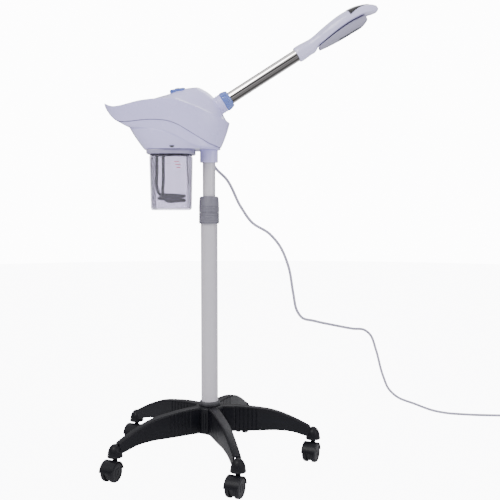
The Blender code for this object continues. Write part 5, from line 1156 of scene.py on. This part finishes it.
# ================================ Jar and heater ===============================================
@dataclass
class Boiler:
    """The clear jar with its level ticks, the ring over it, the heating tube and the level probe."""

    x: float = -0.0810
    half: float = 0.0440
    corner: float = 0.013
    draft: float = 0.0022
    wall: float = 0.0026
    height: float = 0.119
    neck: float = 0.0415
    ring_half: float = 0.0505
    ring_corner: float = 0.018
    shoulder: float = 0.0169
    plate_top: float = 0.0370
    plate_foot: float = 0.0320
    count: int = 160

    def square(self, half: float, corner: float) -> Array:
        """A rounded square by angle: reach (|cos|^n + |sin|^n)^(-1/n), n = 2 half / corner."""
        angle = around(self.count, 0.5)
        power = 2.0 * half / corner
        reach = (np.abs(np.cos(angle)) ** power + np.abs(np.sin(angle)) ** power) ** (-1 / power)
        return np.stack([half * reach * np.cos(angle), half * reach * np.sin(angle)], axis=1)

    def row(self, outline: Array, height: float) -> Array:
        """An outline set at a height above the head's foot, under the jar's axis."""
        return np.column_stack([outline, np.full(len(outline), height)]) + (self.x, 0, HEAD_Z) + POLE

    def jar(self, material: bpy.types.Material) -> None:
        """The jar: outer wall, rounded foot, shoulder, neck and the inner wall back down to its floor."""
        foot = self.shoulder - self.height
        angle = around(self.count, 0.5)
        unit = np.stack([np.cos(angle), np.sin(angle)], axis=1)
        low, high = self.square(self.half - self.draft, self.corner), self.square(self.half, self.corner)
        inner = self.corner - self.wall
        in_low = self.square(self.half - self.draft - self.wall, inner)
        in_high = self.square(self.half - self.wall, inner)
        s, w, floor = self.shoulder, self.wall, foot + 1.2 * self.wall
        rows = [(low * 0.80, foot + 0.0006), (low * 0.90, foot), (low * 0.965, foot + 0.0012),
                (low, foot + 0.005), (high, s - 0.006), (high * 0.97, s - 0.001), (unit * self.neck, s),
                (unit * self.neck, s + 0.0125), (unit * (self.neck - w), s + 0.0125),
                (unit * (self.neck - w), s - w), (in_high * 0.97, s - 0.001 - w), (in_high, s - 0.006 - w),
                (in_low, floor + 0.004), (in_low * 0.93, floor)]
        rings = fillet(np.stack([self.row(o, z) for o, z in rows]), 0.0016, 5)
        Piece.make("jar_fine", [rings], material, "jar", ("jar",), "jar_clear", sharp=60)

    def ticks(self, palette: Palette) -> None:
        """Three plain level marks printed on the front of the jar."""
        solids = []
        for k, (z, length) in enumerate(((-0.0005, 0.011), (-0.0065, 0.012), (-0.0125, 0.009))):
            x0 = self.x + 0.0105 + 0.0025 * k
            front = -(self.half - 0.0006 - self.draft * (0.0109 - z) / self.height)
            corners = [(x0, z), (x0 + length, z), (x0 + length, z + 0.0015), (x0, z + 0.0015)]
            faces = [np.array([(cx, front + y, cz) for cx, cz in corners]) for y in (0.0002, -0.0001)]
            solids.append(np.stack(faces))
        Piece.make("level_ticks_fine", [s - (0, 0.0006, 0) + HEAD_FOOT for s in solids],
                   palette.tick.build(), "jar", (), "ring_white")

    def ring(self, palette: Palette) -> None:
        """The twist-lock ring, closed round the jar's neck, with soft outer edges."""
        foot, angle = 0.0172, around(self.count, 0.5)
        unit = np.stack([np.cos(angle), np.sin(angle)], axis=1)
        outline = self.square(self.ring_half, self.ring_corner)
        rows = [(unit * (self.neck + 0.0030), foot + 0.0003), (outline * 0.972, foot),
                (outline, foot + 0.0022), (outline, foot + 0.0075), (outline * 0.985, foot + 0.0095),
                (unit * 0.0443, foot + 0.0095), (unit * 0.0443, foot + 0.0030)]
        rings = ring_fillet(np.stack([self.row(o, z) for o, z in rows]), 0.0008, 4)
        Piece.make("jar_ring_fine", [rings], palette.ring.build(), "head", ("jar_ring",), "ring_white",
                   ends=Ends.JOINED)

    def heater(self, palette: Palette) -> None:
        """The heating tube: a leg down, 640 degrees of a slowly falling circle, and a leg back up."""
        top, coil_top, r = self.plate_top + 0.012, self.plate_foot - 0.100, 0.0275
        turns = np.radians(np.linspace(212.0, 852.0, 60))
        drop = 0.0088 * (turns - turns[0]) / (2 * math.pi)
        coil = np.stack([r * np.cos(turns), r * np.sin(turns), coil_top - drop], axis=1)
        down = [(-r - 0.003, -0.006, top), (-r - 0.003, -0.006, coil_top + 0.05),
                (-r - 0.003, -0.0065, coil_top + 0.014)]
        up = [(0.0082 - r, 0.0085, coil[-1][2] + 0.012), (0.009 - r, 0.006, coil_top + 0.03),
              (0.009 - r, 0.006, top)]
        path = spline([*down, *map(tuple, coil[::3]), *up], 260)
        shift = POLE + (self.x, 0, HEAD_Z)
        Piece.make("heating_element_fine", [carried(path, circle(0.0034, 24)) + shift], palette.steel.build(),
                   "head", ("heating_element",), "steel")
        probe = spline([(0.0320, 0, top), (0.0346, 0, -0.010), (0.0372, 0, self.plate_foot - 0.080)], 30)
        Piece.make("level_probe_fine", [carried(probe, circle(0.0015, 20)) + shift], palette.steel.build(),
                   "head", ("level_probe",), "steel")

    def build(self, palette: Palette) -> None:
        """Makes the jar, its marks, the ring and what hangs in it."""
        self.jar(palette.jar.build())
        self.ticks(palette)
        self.ring(palette)
        self.heater(palette)


# ================================ Arm and spray head ===========================================
def on_arm(points: Array) -> Array:
    """Points of the arm's frame (along, across, up) set in the frame's metres."""
    return tilt_y(points, -ARM_ANGLE) + HEAD_FOOT + (0.0, 0.0, ARM_HEIGHT)


@dataclass
class Arm:
    """The ringed neck, the lobed nut and the chrome steam tube."""

    tube: float = 0.0131
    neck: float = 0.0203
    start: float = 0.004
    end: float = 0.0375
    nut_length: float = 0.0175
    lobes: int = 8

    def build(self, palette: Palette) -> None:
        """Makes the three pieces."""
        bore, thread, far = self.tube + GAP, self.tube + 0.0045, self.end + 0.009
        z = np.linspace(self.start + 0.0042, self.end - 0.0012, 240)
        ripple = 0.0009 * (0.5 + 0.5 * np.cos((z - self.end) * 2 * math.pi / 0.0052)) ** 2.0
        profile = [(bore, self.start), (self.neck + 0.004, self.start),
                   (self.neck + 0.004, self.start + 0.004)]
        profile += list(zip(self.neck - ripple, z))
        profile += [(self.neck - 0.0005, self.end - GAP), (thread, self.end - GAP), (thread, far),
                    (thread - 0.0012, far), (thread - 0.0012, far - 0.0053), (bore, far - 0.0053)]
        rings = lathe(np.array(profile), 112, along="x")
        Piece.make("arm_neck_fine", [on_arm(rings)], palette.shell.build(), "head", ("arm_neck",),
                   "shell_white", ends=Ends.JOINED, sharp=50)
        self.nut(palette, bore, thread, far)
        tube = [(self.tube, 0.012), (self.tube, 0.2370), (self.tube - 0.001, 0.2370),
                (self.tube - 0.001, 0.012)]
        Piece.make("steam_tube_fine", [on_arm(lathe(np.array(tube), 128, along="x"))], palette.chrome.build(),
                   "arm_tube", ("steam_tube",), "chrome", ends=Ends.JOINED)

    def nut(self, palette: Palette, bore: float, thread: float, far: float) -> None:
        """The lobed nut: radius less 1.6 mm in eight soft grooves, tapering towards the tube."""
        angle = around(240)
        groove = 0.0016 * (1 - smooth(0.0, 0.42, 0.5 + 0.5 * np.cos(self.lobes * angle)))
        share = np.linspace(0, 1, 30)
        radius = through([(0.0, 0.0200), (0.10, 0.0208), (0.5, 0.0205), (0.85, 0.0185), (0.96, 0.0175),
                          (1.0, 0.0168)], share)
        outer = radius[:, None] - groove * smooth(0.0, 0.08, share)[:, None]
        along = self.end + share * self.nut_length
        rings = np.stack([np.repeat(along[:, None], 240, 1), outer * np.cos(angle), outer * np.sin(angle)],
                         axis=-1)
        inner = [(bore, self.end + self.nut_length), (bore, far + GAP), (thread + GAP, far + GAP),
                 (thread + GAP, self.end)]
        back = lathe(np.array(inner), 240, along="x")
        Piece.make("arm_nut_fine", [on_arm(np.concatenate([rings, back]))], palette.blue.build(), "arm_nut",
                   ("arm_nut",), "translucent_blue", ends=Ends.JOINED, sharp=45)


SPRAY_TOP = [(0.0, 0.0163), (0.006, 0.0170), (0.012, 0.0168), (0.026, 0.0157), (0.040, 0.0146),
             (0.054, 0.0156), (0.070, 0.0182), (0.088, 0.0205), (0.107, 0.0224), (0.122, 0.0229),
             (0.134, 0.0222), (0.158, 0.0182), (0.172, 0.0133), (0.182, 0.0088), (0.190, 0.0040),
             (0.1965, -0.0020)]
SPRAY_EDGE = [(0.0, -0.0163), (0.006, -0.0170), (0.012, -0.0168), (0.026, -0.0160), (0.038, -0.0154),
              (0.046, -0.0110), (0.064, -0.0082), (0.086, -0.0062), (0.108, -0.0046), (0.126, -0.0042),
              (0.143, -0.0052), (0.159, -0.0062), (0.174, -0.0096), (0.184, -0.0130), (0.192, -0.0140),
              (0.1965, -0.0112)]
SPRAY_WIDTH = [(0.0, 0.0163), (0.006, 0.0170), (0.012, 0.0168), (0.026, 0.0158), (0.040, 0.0160),
               (0.054, 0.0192), (0.070, 0.0245), (0.088, 0.0292), (0.107, 0.0320), (0.126, 0.0330),
               (0.143, 0.0322), (0.159, 0.0292), (0.172, 0.0240), (0.184, 0.0172), (0.192, 0.0108),
               (0.1965, 0.0050)]
MODULE_FOOT = [(0.046, -0.0175), (0.060, -0.0189), (0.080, -0.0206), (0.106, -0.0222), (0.130, -0.0229),
               (0.154, -0.0226), (0.162, -0.0200)]
MODULE_WIDTH = [(0.046, 0.0100), (0.056, 0.0170), (0.073, 0.0232), (0.090, 0.0272), (0.110, 0.0292),
                (0.132, 0.0290), (0.150, 0.0262), (0.162, 0.0222)]


@dataclass
class SprayHead:
    """The spray head at the end of the arm: cover, nozzle module and glossy window."""

    start: float = 0.2230
    segments: int = 96
    window: tuple = (0.135, 0.184)

    def section(self, reach: float) -> Array:
        """One section: superellipse halves above and below a middle line, rounder near the tube."""
        angle = around(self.segments)
        top = float(through(SPRAY_TOP, reach))
        edge = float(through(SPRAY_EDGE, reach))
        width = float(through(SPRAY_WIDTH, reach))
        body = float(smooth(0.036, 0.066, np.array(reach)))
        middle = (top + edge) / 2 * (1 - body) + (edge + 0.0035) * body
        cos, sin = np.cos(angle), np.sin(angle)
        power = 2.0 + 0.5 * body
        up = np.where(sin > 0, (top - middle) * signed_power(sin, 2 / power),
                      (middle - edge) * signed_power(sin, 2 / (power + 1.5 * body)))
        return np.stack([np.full(self.segments, self.start + reach), width * signed_power(cos, 2 / power),
                         middle + up], axis=1)

    def cover(self, palette: Palette) -> None:
        """The cover, bored for the tube: outside sections, then back along the bore to a blind end."""
        reaches = np.concatenate([np.linspace(0.0015, 0.1935, 110), [0.1950, 0.1958, 0.1962]])
        rings = [self.section(float(r)) for r in reaches]
        tip = rings[-1].mean(axis=0)
        rings += [tip + (rings[-1] - tip) * s + (0.0002 * (1 - s), 0, 0) for s in (0.7, 0.35, 0.02)]
        angle = around(self.segments)
        bore = [(0.0009, 0.018), (0.0134, 0.018), (0.0134, 0.0003), (0.0146, 0.0)]
        back = [np.stack([np.full(self.segments, self.start + h), r * np.cos(angle), r * np.sin(angle)],
                         axis=1)
                for r, h in bore]
        lead = self.section(0.0015)
        lead = lead + ((self.start, 0, 0) - lead) * np.array([1.0, 0.035, 0.035])
        Piece.make("spray_cover_fine", [on_arm(np.stack(back + [lead] + rings))], palette.spray.build(),
                   "spray_head", ("spray_cover",), "spray_white", sharp=60)

    def module(self, palette: Palette) -> None:
        """The grey nozzle module with a recessed outlet: its own sections, closed at both ends."""
        angle = around(self.segments, 0.5)
        rings = []
        for reach in np.concatenate([[0.0475, 0.0485], np.linspace(0.052, 0.158, 60), [0.1605, 0.162]]):
            foot = float(through(MODULE_FOOT, reach))
            top = float(through(SPRAY_EDGE, reach)) - GAP * 2.2
            width = min(float(through(MODULE_WIDTH, reach)), float(through(SPRAY_WIDTH, reach)) - 0.002)
            up = (top + foot) / 2 + (top - foot) / 2 * signed_power(np.sin(angle), 2 / 5.0)
            rings.append(np.stack([np.full(self.segments, self.start + reach),
                                   width * signed_power(np.cos(angle), 2 / 4.0), up], axis=1))
        module = Piece.make("nozzle_module_fine", [on_arm(np.stack(rings))], palette.module.build(),
                            "spray_head", ("nozzle_module",), "module_grey", sharp=40)
        x0, x1, y1 = self.start + 0.0917, self.start + 0.1443, 0.0153
        square = np.array([(x0, -y1), (x1, -y1), (x1, y1), (x0, y1)])
        pocket = np.stack([np.column_stack([square, np.full(4, z)]) for z in (-0.030, -0.0165)])
        drill_holes(module, on_arm(pocket))

    def glossy_window(self, palette: Palette) -> None:
        """The dark window: a shield-shaped patch lifted off the cover's own top surface."""
        share = np.linspace(0, 1, 70)
        reach = self.window[0] + (self.window[1] - self.window[0]) * share
        middle = (through(SPRAY_EDGE, reach) + 0.0035)[:, None]
        rise = through(SPRAY_TOP, reach)[:, None] - middle
        spread = through([(0.0, 0.975), (0.25, 0.93), (0.5, 0.86), (0.75, 0.72), (1.0, 0.45)], share)
        corner = np.arccos(spread**1.25)[:, None]
        angle = corner + (math.pi - 2 * corner) * np.linspace(0, 1, 61)[None, :]
        rows = []
        rim = 0.0004 * (1 - np.linspace(-1, 1, 61)[None, :] ** 12) * (1 - (2 * share - 1) ** 12)[:, None]
        for grown in (0.0003 + 0 * rim, 0.0008 + rim):
            y = (through(SPRAY_WIDTH, reach)[:, None] + grown) * signed_power(np.cos(angle), 0.8)
            z = middle + (rise + grown) * np.sin(angle) ** 0.8
            rows.append(np.stack([np.repeat(self.start + reach[:, None], 61, 1), y, z], axis=-1))
        rings = np.concatenate([rows[0], rows[1][:, ::-1]], axis=1)
        Piece.make("spray_window_fine", [on_arm(rings)], palette.window.build(), "spray_head",
                   ("spray_window",), "window_black", sharp=50)

    def build(self, palette: Palette) -> None:
        """Makes the cover, the module and the window."""
        self.cover(palette)
        self.module(palette)
        self.glossy_window(palette)


# ================================ Assembly =====================================================
def dress_rest(nodes: dict[str, bpy.types.Object], palette: Palette) -> None:
    """Gives every node that is kept from the frame its detailed finish."""
    kept = {"outlet_grille": palette.grille, "pole_bush": palette.nylon, "power_button": palette.button,
            "ozone_button": palette.button, "indicator_lens": palette.lens, "boiler_plate": palette.plate,
            "jar_gasket": palette.rubber, "tube_seal": palette.rubber, "splash_filter": palette.steel,
            "thermal_cutout": palette.steel, "steam_duct": palette.duct, "circuit_board": palette.board,
            "power_module": palette.board, "ozone_lamp": palette.lamp, "plug_pin_a": palette.pin,
            "plug_pin_b": palette.pin}
    kept |= {f"castor_{k}_axle": palette.steel for k in range(1, 6)}
    for name, finish in kept.items():
        mesh = nodes[name].data
        mesh.materials.clear()
        mesh.materials.append(finish.build())
        mesh.shade_smooth()
        mesh.set_sharp_from_angle(angle=math.radians(32))
        log.info("%s: kept, finish %s", name, finish.slot)


def write_size() -> None:
    """Brings the view layer up to date."""
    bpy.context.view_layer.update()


def main() -> None:
    """Builds the whole visual model."""
    logging.basicConfig(level=logging.INFO, format="%(name)s: %(message)s")
    palette = Palette()
    write_size()
    Studio().build()
    SupplyCord().build(palette, frame["nodes"])
    StarBase().build(palette)
    for number in range(1, LEG_COUNT + 1):
        Castor(number).build(palette)
    Mast().build(palette)
    Head().build(palette)
    Boiler().build(palette)
    Arm().build(palette)
    SprayHead().build(palette)
    dress_rest(frame["nodes"], palette)
    write_size()


if __name__ == "__main__":
    main()
